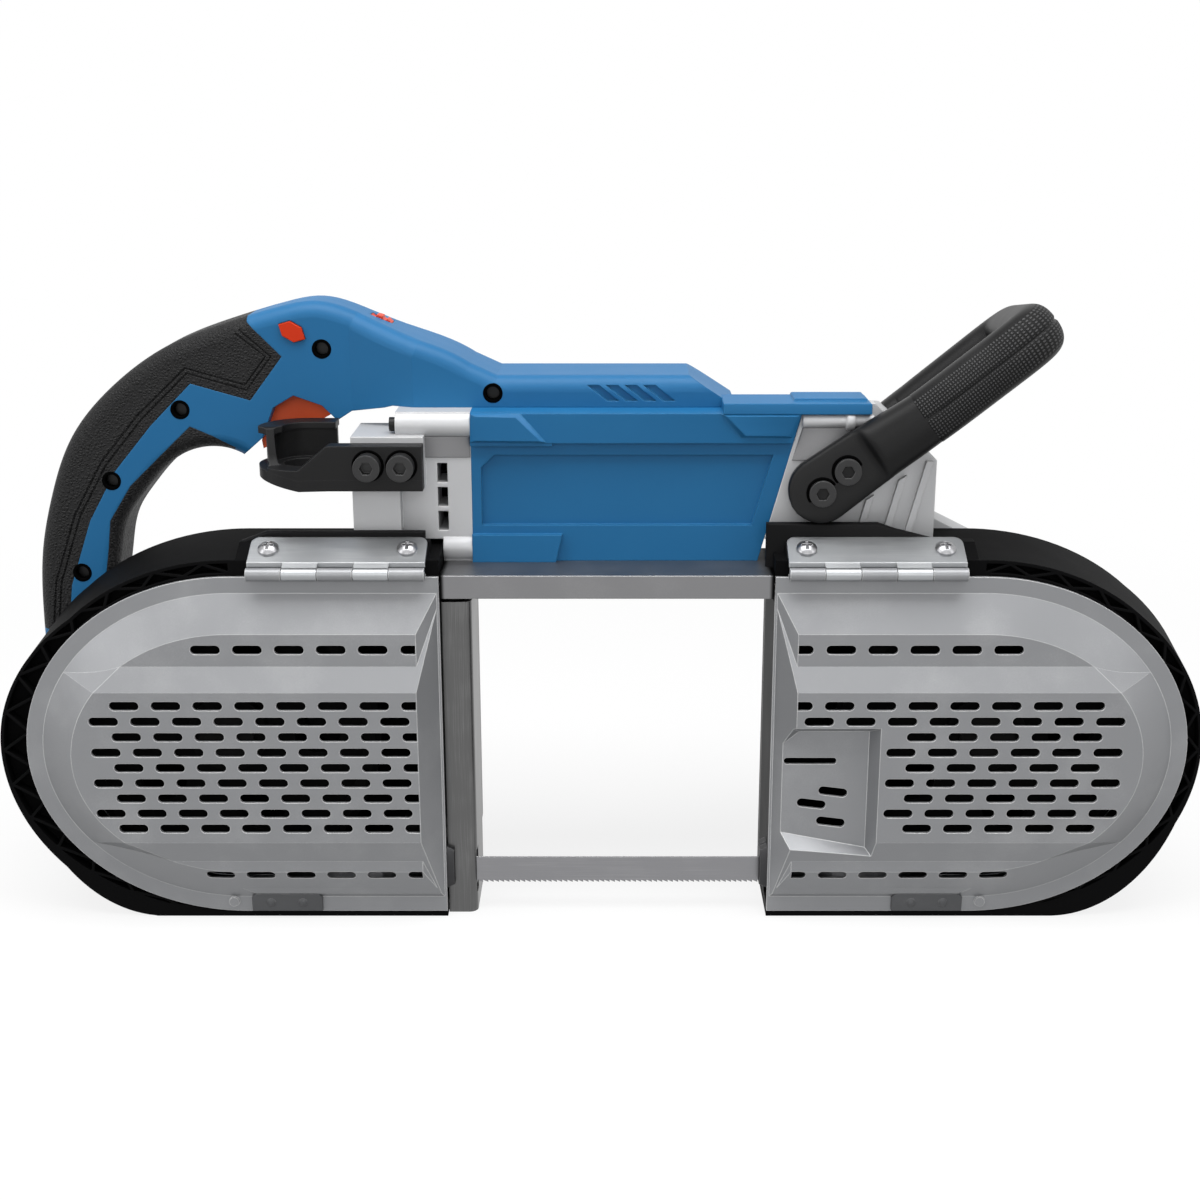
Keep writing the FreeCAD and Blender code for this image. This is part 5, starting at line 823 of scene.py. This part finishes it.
@dataclass(frozen=True)
class RunningGear(SubAssembly):
    """Band, wheels, guides and the tension slide."""

    dressing: ClassVar[Dressing] = {
        BAND_STEEL: ("band",),
        # wheels, shafts, bearings and slide inside the guards are darkened as painted shade
        WHEEL_GUARD_SHADE: ("drive_wheel", "idler_wheel"),
        TYRE_RUBBER: ("drive_tyre", "idler_tyre"),
        GUARD_SHADE_STEEL: ("drive_shaft", "idler_axle", "tension_slide", "shaft_bearings", "idler_bearings"),
        TURNED_STEEL: tuple(f"{end}_{kind}_roller" for end, _ in ENDS for kind in ("near", "far", "thrust")),
        GUIDE_STEEL: ("rear_guide_bracket", "front_guide_bracket"),
        DULL_MOULDING: ("tension_lever",),
    }
    nose_x: float = 71.5 * MM
    nose_root_x: float = 78.0 * MM
    nose_low: float = 12.5 * MM
    nose_high: float = 36.0 * MM
    nose_slant: float = 3.0 * MM
    nose_front: float = -56.5 * MM
    nose_back: float = -44.7 * MM
    nose_slit: float = 1.6 * MM
    nose_chamfer: float = 0.6 * MM

    def nose(self, end: str, side: float) -> bpy.types.Object:
        """Builds a guide's nose: two tapered cheeks, one on each side of the band.

        Args:
            end: Name of the guide's end of the saw.
            side: -1 at the rear, 1 at the front.

        Returns:
            The piece, linked to the scene.
        """
        outline = np.array([
            (side * self.nose_root_x, self.nose_low), (side * self.nose_x, self.nose_low + self.nose_slant),
            (side * self.nose_x, self.nose_high - self.nose_slant), (side * self.nose_root_x, self.nose_high)])
        middle = (self.nose_front + self.nose_back) / 2.0
        near = plate(outline, self.nose_front, middle - self.nose_slit / 2.0, self.nose_chamfer)
        far = plate(outline, middle + self.nose_slit / 2.0, self.nose_back, self.nose_chamfer)
        return skinned(f"{end}_guide_nose", [near, far])

    def fittings(self) -> None:
        """Adds the noses of the two guides."""
        for end, side in ENDS:
            self.fit(self.nose(end, side), "saw_frame", "guide_block", GUIDE_STEEL)


@dataclass(frozen=True)
class DriveTrain(SubAssembly):
    """Motor, fan, gears, the gear case and the motor's housing with its castings."""

    dressing: ClassVar[Dressing] = {
        GEAR_STEEL: ("cross_shaft", "bevel_gear", "intermediate_gear", "final_gear", "motor_rotor"),
        STATOR_PACK: ("motor_stator",),
        DULL_MOULDING: ("cooling_fan",),
        BLASTED_CASTING: ("gear_case", "gear_case_cover", "rear_casting", "front_casting"),
        BLUE_MOULDING: ("motor_housing",),
    }
    face: float = -33.6 * MM
    sunk: float = 0.6 * MM
    front_block: tuple[Pair, ...] = metres((50.9, 235.6), (59.9, 225.0), (83.0, 225.0), (87.2, 235.6))
    rear_block: tuple[Pair, ...] = metres((-61.2, 235.8), (-38.8, 235.8), (-27.4, 222.8), (-61.2, 222.8))
    block_rise: float = 4.9 * MM
    block_chamfer: float = 1.7 * MM
    band: tuple[Pair, ...] = metres((-45.0, 235.9), (-45.0, 222.3), (83.4, 222.3), (86.8, 235.9))
    band_rise: float = 3.3 * MM
    band_chamfer: float = 0.5 * MM
    roof_edge: tuple[Pair, ...] = metres((52.0, -37.8), (118.2, -37.8), (118.2, -12.0), (52.0, -12.0))
    roof_top: float = 240.5 * MM
    roof_low: float = 235.6 * MM
    roof_cap: tuple[Pair, ...] = metres((84.0, -31.0), (116.8, -31.0), (116.8, -12.5), (84.0, -12.5))
    roof_cap_rise: float = 1.2 * MM
    front_panel: tuple[Pair, ...] = metres((87.9, 229.2), (117.5, 229.2), (118.0, 213.9), (83.4, 213.9))
    rear_panel: tuple[Pair, ...] = metres((-94.6, 225.0), (-61.6, 225.0), (-61.6, 215.3), (-94.6, 215.3))
    panel_rise: float = 0.7 * MM
    rod_z: float = 232.4 * MM
    rod_radius: float = 3.4 * MM
    rod_around: int = 40
    rod_stations: tuple[Pair, ...] = (
        (87.6, 0.9), (88.1, 1.0), (107.0, 1.0), (107.2, 1.25), (107.8, 1.35), (110.4, 1.35), (111.0, 1.25),
        (111.2, 0.95), (119.5, 0.7), (120.0, 0.5))

    def housing_trim(self) -> bpy.types.Object:
        """Builds the housing's moulded trim: upper band, its two end blocks and the roof over the casting.

        Returns:
            The piece, linked to the scene.
        """
        back = self.face + self.sunk
        cap_top, cap_low = self.roof_top + self.roof_cap_rise, self.roof_top - self.sunk
        return skinned("housing_trim", [
            plate(self.front_block, self.face - self.block_rise, back, self.block_chamfer),
            plate(self.rear_block, self.face - self.block_rise, back, self.block_chamfer),
            plate(self.band, self.face - self.band_rise, back, self.band_chamfer),
            plate(self.roof_edge, self.roof_top, self.roof_low, self.band_chamfer, Axis.Z),
            plate(self.roof_cap, cap_top, cap_low, self.band_chamfer, Axis.Z),
        ])

    def casting_rod(self) -> bpy.types.Object:
        """Builds the rod cast along the top of the front casting, with its collar and taper."""
        stations = [(place * MM, share * self.rod_radius) for place, share in self.rod_stations]
        return skinned("casting_rod", [turned((0.0, self.face, self.rod_z), Axis.X, stations, self.rod_around)])

    def casting_panel(self) -> bpy.types.Object:
        """Builds the dark panels of the two castings: thin plates a little proud of the castings' faces."""
        proud, back = self.face - self.panel_rise, self.face + self.sunk
        outlines = (self.front_panel, self.rear_panel)
        return skinned("casting_panel", [plate(line, proud, back, self.band_chamfer) for line in outlines])

    def fittings(self) -> None:
        """Adds the trims of the housing and of the castings."""
        self.fit(self.housing_trim(), "saw_frame", "blue_plastic", BLUE_MOULDING)
        self.fit(self.casting_rod(), "saw_frame", "cast_aluminium", BLASTED_CASTING)
        self.fit(self.casting_panel(), "saw_frame", "cast_aluminium", PANEL_CASTING)


@dataclass(frozen=True)
class RearHandle(SubAssembly):
    """Handle shells, grips, controls and the battery dock."""

    dressing: ClassVar[Dressing] = {
        BLUE_MOULDING: ("near_handle_shell", "far_handle_shell"),
        GRIP_RUBBER: ("rear_grip", "inner_grip"),
        SCREW_BLACK: ("case_screws",),
        ORANGE_MOULDING: ("lock_button",),
        TRIGGER_ORANGE_LIGHTENED: ("trigger",),
        SPEED_ORANGE: ("speed_dial",),
        DULL_MOULDING: ("trigger_switch", "battery_dock"),
        BOARD_COAT: ("control_board",),
    }
    wells: tuple[Point, ...] = metres(
        (-130.9, -7.6, 260.6), (-197.7, -7.6, 232.5), (-232.1, -7.6, 198.9), (-249.5, -7.6, 154.4),
        (-51.8, -21.6, 242.5))
    well_bore: float = 3.05 * MM
    well_rim: float = 4.5 * MM
    well_depth: float = 3.9 * MM

    def fittings(self) -> None:
        """Adds dark rings in the screw wells, painted shade for their recesses."""
        rings = [rim_ring(place, self.well_bore, self.well_rim, self.well_depth) for place in self.wells]
        self.fit(skinned("screw_well_rims", rings), "saw_frame", "black_moulding", WELL_SHADE_BLACK)


@dataclass(frozen=True)
class FrontLoop(SubAssembly):
    """Loop handle with its sleeve, and the hook with the bolts of both."""

    dressing: ClassVar[Dressing] = {BOLT_BLACK: ("socket_bolts",)}
    near_boss: Point = (84.5 * MM, -39.8 * MM, 193.0 * MM)
    near_step: Point = (119.5 * MM, -39.8 * MM, 219.0 * MM)
    near_sleeve: Point = (141.0 * MM, -41.0 * MM, 233.5 * MM)
    near_corner: Point = (189.0 * MM, -41.0 * MM, 272.0 * MM)
    far_corner: Point = (200.5 * MM, 59.5 * MM, 259.5 * MM)
    far_sleeve: Point = (150.0 * MM, 59.5 * MM, 218.0 * MM)
    far_step: Point = (134.0 * MM, 58.6 * MM, 203.0 * MM)
    far_boss: Point = (108.0 * MM, 58.6 * MM, 178.5 * MM)
    corner_rounding: float = 22.0 * MM
    step: float = 1.0 * MM
    boss_height: float = 15.5 * MM
    boss_depth: float = 6.2 * MM
    boss_end: float = 0.02
    tube_height: float = 12.2 * MM
    tube_depth: float = 11.0 * MM
    sleeve_skin: float = 0.5 * MM
    sleeve_lap: float = 8.0 * MM
    boss_power: float = 6.0
    tube_power: float = 2.6
    rise_scale: float = 0.75 * MM
    groove_depth: float = 0.7 * MM
    groove_width: float = 0.55 * MM
    border_share: float = 0.82
    around: int = 120
    hook_end_x: float = -82.0 * MM
    hook_fall_x: float = -124.0 * MM
    hook_bend_x: float = -137.0 * MM
    hook_tip_x: float = -124.0 * MM
    hook_middle_y: float = -29.6 * MM
    hook_radius: float = 15.0 * MM
    hook_low: float = 203.0 * MM
    hook_high: float = 223.3 * MM
    hook_low_rise: float = 4.5 * MM
    hook_saddle: float = 212.5 * MM
    hook_crown: float = 229.0 * MM
    hook_half: float = 4.0 * MM
    hook_web_half: float = 1.8 * MM
    hook_web_step: float = 0.05 * MM
    hook_web_least: float = 0.1 * MM
    hook_flange_half: float = 5.5 * MM
    hook_flange: float = 3.0 * MM
    hook_foot: float = 5.0 * MM
    hook_hollow: Pair = (0.8, 0.25)
    hook_climb: Pair = (1.0, 0.35)
    hook_spread: Pair = (1.35, 0.15)
    hook_arm_rings: int = 36
    hook_bend_rings: int = 41
    hook_tip_rings: int = 8
    bolt_places: tuple[Point, ...] = metres(
        (96.3, -46.0, 201.5), (107.2, -46.0, 211.5), (-106.0, -48.6, 214.5), (-91.2, -48.6, 214.5))
    bolt_bore: float = 5.9 * MM
    bolt_rim: float = 7.2 * MM
    bolt_rim_depth: float = 1.0 * MM

    def route(self) -> np.ndarray:
        """Works out the middle line of the whole loop.

        Returns:
            Samples from the near boss round to the far one.
        """
        corners = (self.near_boss, self.near_step, self.near_sleeve, self.near_corner,
                   self.far_corner, self.far_sleeve, self.far_step, self.far_boss)
        return rounded_path(np.array(corners), self.corner_rounding, self.step)

    def sections(self, line: np.ndarray, height: np.ndarray, depth: np.ndarray, power: np.ndarray) -> np.ndarray:
        """Rings along the line.

        A ring is a squared circle: its height lies along the loop plane's own normal, made square to the
        line, and its depth across both. Angle 0 of a ring faces out of the loop.

        Args:
            line: Samples of the middle line.
            height: Half height of each ring.
            depth: Half depth of each ring.
            power: Squareness of each ring; 2 is a circle.

        Returns:
            Rings by points round by three.
        """
        ahead = np.gradient(line, axis=0)
        ahead /= np.linalg.norm(ahead, axis=1, keepdims=True)
        rise = np.array(self.near_corner) - np.array(self.near_sleeve)
        span = np.array(self.far_corner) - np.array(self.near_corner)
        normal = np.cross(span, rise)
        up = normal - ahead * (ahead @ normal)[:, None]
        up /= np.linalg.norm(up, axis=1, keepdims=True)
        out = np.cross(up, ahead)
        angle = full_turn(self.around)
        tall = bent(np.sin(angle)[None], 2.0 / power[:, None]) * height[:, None]
        deep = bent(np.cos(angle)[None], 2.0 / power[:, None]) * depth[:, None]
        return line[:, None] + up[:, None] * tall[..., None] + out[:, None] * deep[..., None]

    def legs(self) -> bpy.types.Object:
        """Builds the two coated legs: a flat round-ended boss that steps up to the tube under the sleeve.

        Along a leg the section's depth and squareness go from the boss's to the tube's by an S-shaped curve
        at the step, its height in a straight line, and at the end the height follows a half circle.

        Returns:
            The piece, linked to the scene.
        """
        line = self.route()
        along = arc_lengths(line)
        reach = np.linalg.norm(np.array(self.near_sleeve) - np.array(self.near_boss)) + self.sleeve_lap
        step_at = np.linalg.norm(np.array(self.near_step) - np.array(self.near_boss))
        grids = []
        for from_end in (along, along[-1] - along):
            kept = from_end <= reach
            place = from_end[kept]
            order = np.argsort(place)
            place, middle = place[order], line[kept][order]
            rise = 1.0 / (1.0 + np.exp(-(place - step_at) / self.rise_scale))
            inside = np.clip(1.0 - place / self.boss_height, 0.0, 1.0)
            round_end = np.sqrt(np.maximum(1.0 - inside ** 2, self.boss_end))
            height = (self.boss_height + (self.tube_height - self.boss_height) * place / reach) * round_end
            depth = self.boss_depth + (self.tube_depth - self.boss_depth) * rise
            power = self.boss_power + (self.tube_power - self.boss_power) * rise
            grids.append(self.sections(middle, height, depth, power))
        return skinned("loop_legs", grids)

    def sleeve(self) -> bpy.types.Object:
        """Builds the sleeve: the tube's section a skin larger, with a groove pressed along its middle line.

        The groove's depth falls off from the middle line as a bell curve of the crosswise place. Each point
        also carries its lengthwise and crosswise place, and whether it lies on a dotted panel.

        Returns:
            The piece, linked to the scene.
        """
        line = self.route()
        near = np.linalg.norm(line - np.array(self.near_sleeve), axis=1).argmin()
        far = np.linalg.norm(line - np.array(self.far_sleeve), axis=1).argmin()
        middle, place = line[near:far + 1], arc_lengths(line)[near:far + 1]
        lip = np.minimum(place - place[0], place[-1] - place) / self.sleeve_skin
        skin = self.sleeve_skin * np.clip(lip, 0.0, 1.0)
        power = np.full(len(middle), self.tube_power)
        rings = self.sections(middle, self.tube_height + skin, self.tube_depth + skin, power)
        angle = full_turn(self.around)
        crosswise = bent(np.sin(angle), np.array(2.0 / self.tube_power)) * self.tube_height
        outer = np.cos(angle) > 0.0
        groove = np.exp(-(crosswise / self.groove_width) ** 2) * outer * self.groove_depth
        inward = middle[:, None] - rings
        inward /= np.linalg.norm(inward, axis=2, keepdims=True)
        rings = rings + inward * groove[None, :, None]
        aside = np.abs(crosswise)
        panel = outer & (aside < self.border_share * self.tube_height) & (aside > 2.0 * self.groove_width)
        measures = np.broadcast_arrays((place - place[0])[:, None], crosswise[None], panel[None].astype(float))
        return skinned("loop_sleeve", [rings], np.stack(measures, axis=-1).reshape(-1, 3))

    def hook(self) -> bpy.types.Object:
        """Builds the hook: a flat arm that turns back on itself as a flanged channel.

        The middle line runs along the arm, round half a circle and back to the tip. Across it stands a section
        of two flanges and a web; on the arm the web is as wide as the flanges. The top edge falls to the saddle
        before the bend and rises to the crown half way round it, where the web narrows and the crown spreads.

        Returns:
            The piece, linked to the scene.
        """
        turn = np.linspace(0.0, math.pi, self.hook_bend_rings)
        arm = np.linspace(self.hook_end_x, self.hook_bend_x, self.hook_arm_rings)[:-1]
        tip = np.linspace(self.hook_bend_x, self.hook_tip_x, self.hook_tip_rings)[1:]
        x = np.concatenate([arm, self.hook_bend_x - self.hook_radius * np.sin(turn), tip])
        angle = np.concatenate([np.zeros(len(arm)), turn, np.full(len(tip), math.pi)])
        y = self.hook_middle_y - self.hook_radius * np.cos(angle)
        fall = eased(-x, -self.hook_fall_x, self.hook_fall_x - self.hook_bend_x)
        fall = np.where(angle > 0.0, 1.0, fall)
        low = self.hook_low + self.hook_low_rise * np.sin(np.minimum(angle, math.pi / 2.0))
        high = self.hook_high + (self.hook_saddle - self.hook_high) * fall
        high = high + (self.hook_crown - high) * eased(angle, *self.hook_climb)
        edge = self.hook_half + (self.hook_flange_half - self.hook_half) * fall
        web = edge + (self.hook_web_half - edge) * eased(angle, *self.hook_hollow) - self.hook_web_step
        crown = web + (edge - web) * eased(angle, *self.hook_spread)
        inner_low = low + self.hook_foot
        inner_high = np.maximum(high - self.hook_flange, inner_low + self.hook_web_least)
        half = np.stack([edge, edge, web, web, crown, crown], axis=1)
        rise = np.stack([low, inner_low, inner_low, inner_high, inner_high, high], axis=1)
        across = np.concatenate([-half, half[:, ::-1]], axis=1)
        level = np.concatenate([rise, rise[:, ::-1]], axis=1)
        rings = np.stack([x[:, None] - across * np.sin(angle)[:, None],
                          y[:, None] - across * np.cos(angle)[:, None], level], axis=-1)
        return skinned("hook_channel", [rings])

    def fittings(self) -> None:
        """Puts the swept legs, sleeve and hook in the place of the plain ones, and adds dark rings round the bolts,
        painted shade for their recesses.
        """
        for piece, node, finish, slot in (
            (self.hook(), "rafter_hook", HOOK_COAT, "hook_metal"),
            (self.legs(), "front_handle", LOOP_COAT, "loop_metal"),
            (self.sleeve(), "front_handle_grip", LOOP_RUBBER, "loop_rubber"),
        ):
            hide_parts(node)
            self.fit(piece, "saw_frame", slot, finish)
        # painted shade: dark rings round the bolt heads
        rings = [rim_ring(place, self.bolt_bore, self.bolt_rim, self.bolt_rim_depth) for place in self.bolt_places]
        self.fit(skinned("bolt_rims", rings), "saw_frame", "loop_metal", WELL_SHADE_BLACK)


@dataclass(frozen=True)
class PhotoCamera:
    """Camera that sees the saw as the photograph does."""

    image: int = 1200
    focal_pixels: float = 1724.0
    optical_column: float = 607.0
    pitch: float = 16.2
    sensor: float = 36.0
    nearest: float = 10 * MM
    place: Point = (0.0, -798.6 * MM, 370.61 * MM)

    def build(self) -> None:
        """Adds the camera and makes it the scene's own."""
        data = bpy.data.cameras.new("photo_camera")
        data.sensor_width = self.sensor
        data.lens = self.sensor * self.focal_pixels / self.image
        data.shift_x = (self.image / 2 - self.optical_column) / self.image
        data.clip_start = self.nearest
        camera = linked("photo_camera", data)
        camera.location = self.place
        camera.rotation_euler = (math.radians(90.0 - self.pitch), 0.0, 0.0)
        bpy.context.scene.camera = camera


@dataclass(frozen=True)
class Softbox:
    """Area lamp aimed at one place on the saw."""

    name: str
    place: Point
    aim: Point
    width: float
    height: float
    watts: float

    def build(self) -> None:
        """Adds the lamp."""
        data = bpy.data.lights.new(self.name, "AREA")
        data.shape = "RECTANGLE"
        data.size = self.width
        data.size_y = self.height
        data.energy = self.watts
        lamp = linked(self.name, data)
        lamp.location = self.place
        lamp.rotation_euler = (Vector(self.aim) - Vector(self.place)).to_track_quat("-Z", "Y").to_euler()


@dataclass(frozen=True)
class Studio:
    """White floor and surroundings with soft lamps above and beside the saw."""

    floor_half: float = 6.0
    floor_colour: Colour = (0.3, 0.3, 0.3)
    seen_floor: Colour = (0.9, 0.9, 0.9)
    shadow_share: float = 0.16
    shadow_near: float = 0.35
    shadow_far: float = 0.85
    sky_light: float = 0.2
    boxes: tuple[Softbox, ...] = (
        Softbox("top box", (0.0, -0.35, 1.5), (0.0, 0.0, 0.15), 1.8, 0.9, 28.0),
        Softbox("front box", (0.0, -1.7, 0.75), (0.0, 0.0, 0.15), 1.6, 0.8, 7.0),
        Softbox("left box", (-1.3, -0.7, 0.8), (-0.1, 0.0, 0.12), 0.5, 1.0, 5.0),
        Softbox("right box", (1.3, -0.7, 0.8), (0.1, 0.0, 0.12), 0.5, 1.0, 3.0),
    )

    def seen_white(self, graph: Graph) -> Value:
        """Finds the rays by which the camera, a mirror or a clear piece looks at the surroundings.

        Args:
            graph: Graph of the floor or of the surroundings.

        Returns:
            Mask that is 1 for those rays.
        """
        path = graph.node("ShaderNodeLightPath", {}, {})
        rays = ("Is Camera Ray", "Is Glossy Ray", "Is Transmission Ray")
        direct, mirrored, passed = (Value(graph, path.outputs[name]) for name in rays)
        return (direct + mirrored + passed).clamped()

    def floor(self) -> None:
        """Lays the pale floor, white to the camera apart from a soft shadow."""
        half = self.floor_half
        mesh = bpy.data.meshes.new("floor")
        corners = [(-half, -half, 0.0), (half, -half, 0.0), (half, half, 0.0), (-half, half, 0.0)]
        mesh.from_pydata(corners, [], [(0, 1, 2, 3)])
        graph = Graph.of_material("floor white")
        seen = self.seen_white(graph)
        matt = graph.value("ShaderNodeBsdfDiffuse", {}, {0: graph.mixed(seen, self.floor_colour, self.seen_floor)}, 0)
        glow = graph.value("ShaderNodeEmission", {}, {"Color": WHITE, "Strength": 1.0}, 0)
        away = graph.value("ShaderNodeVectorMath", {"operation": "LENGTH"}, {0: graph.place()}, "Value")
        shadow = self.shadow_share * (1.0 - away.ramp(self.shadow_near, self.shadow_far))
        both = graph.value("ShaderNodeMixShader", {}, {0: seen * (1.0 - shadow), 1: matt, 2: glow}, 0)
        graph.node("ShaderNodeOutputMaterial", {}, {"Surface": both})
        mesh.materials.append(graph.owner)
        linked("floor", mesh)

    def sky(self) -> None:
        """Sets the surroundings: plain light, white to the camera and to mirrors."""
        world = bpy.data.worlds.new("studio")
        graph = Graph(world)
        dim = graph.value("ShaderNodeBackground", {}, {"Color": WHITE, "Strength": self.sky_light}, 0)
        seen = graph.value("ShaderNodeBackground", {}, {"Color": WHITE, "Strength": 1.0}, 0)
        both = graph.value("ShaderNodeMixShader", {}, {0: self.seen_white(graph), 1: dim, 2: seen}, 0)
        graph.node("ShaderNodeOutputWorld", {}, {"Surface": both})
        bpy.context.scene.world = world

    def build(self) -> None:
        """Adds floor, surroundings and lamps."""
        self.floor()
        self.sky()
        for softbox in self.boxes:
            softbox.build()
        bpy.context.scene.view_settings.view_transform = "Standard"


def main() -> None:
    """Builds the sub-assemblies in order."""
    logging.basicConfig(level=logging.INFO, format="%(name)s: %(message)s")
    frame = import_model()
    shop = PaintShop()
    for group in (WheelGuards, ThroatFrame, RunningGear, DriveTrain, RearHandle, FrontLoop):
        group(shop, frame["nodes"]).build()
    Studio().build()
    PhotoCamera().build()


if __name__ == "__main__":
    main()
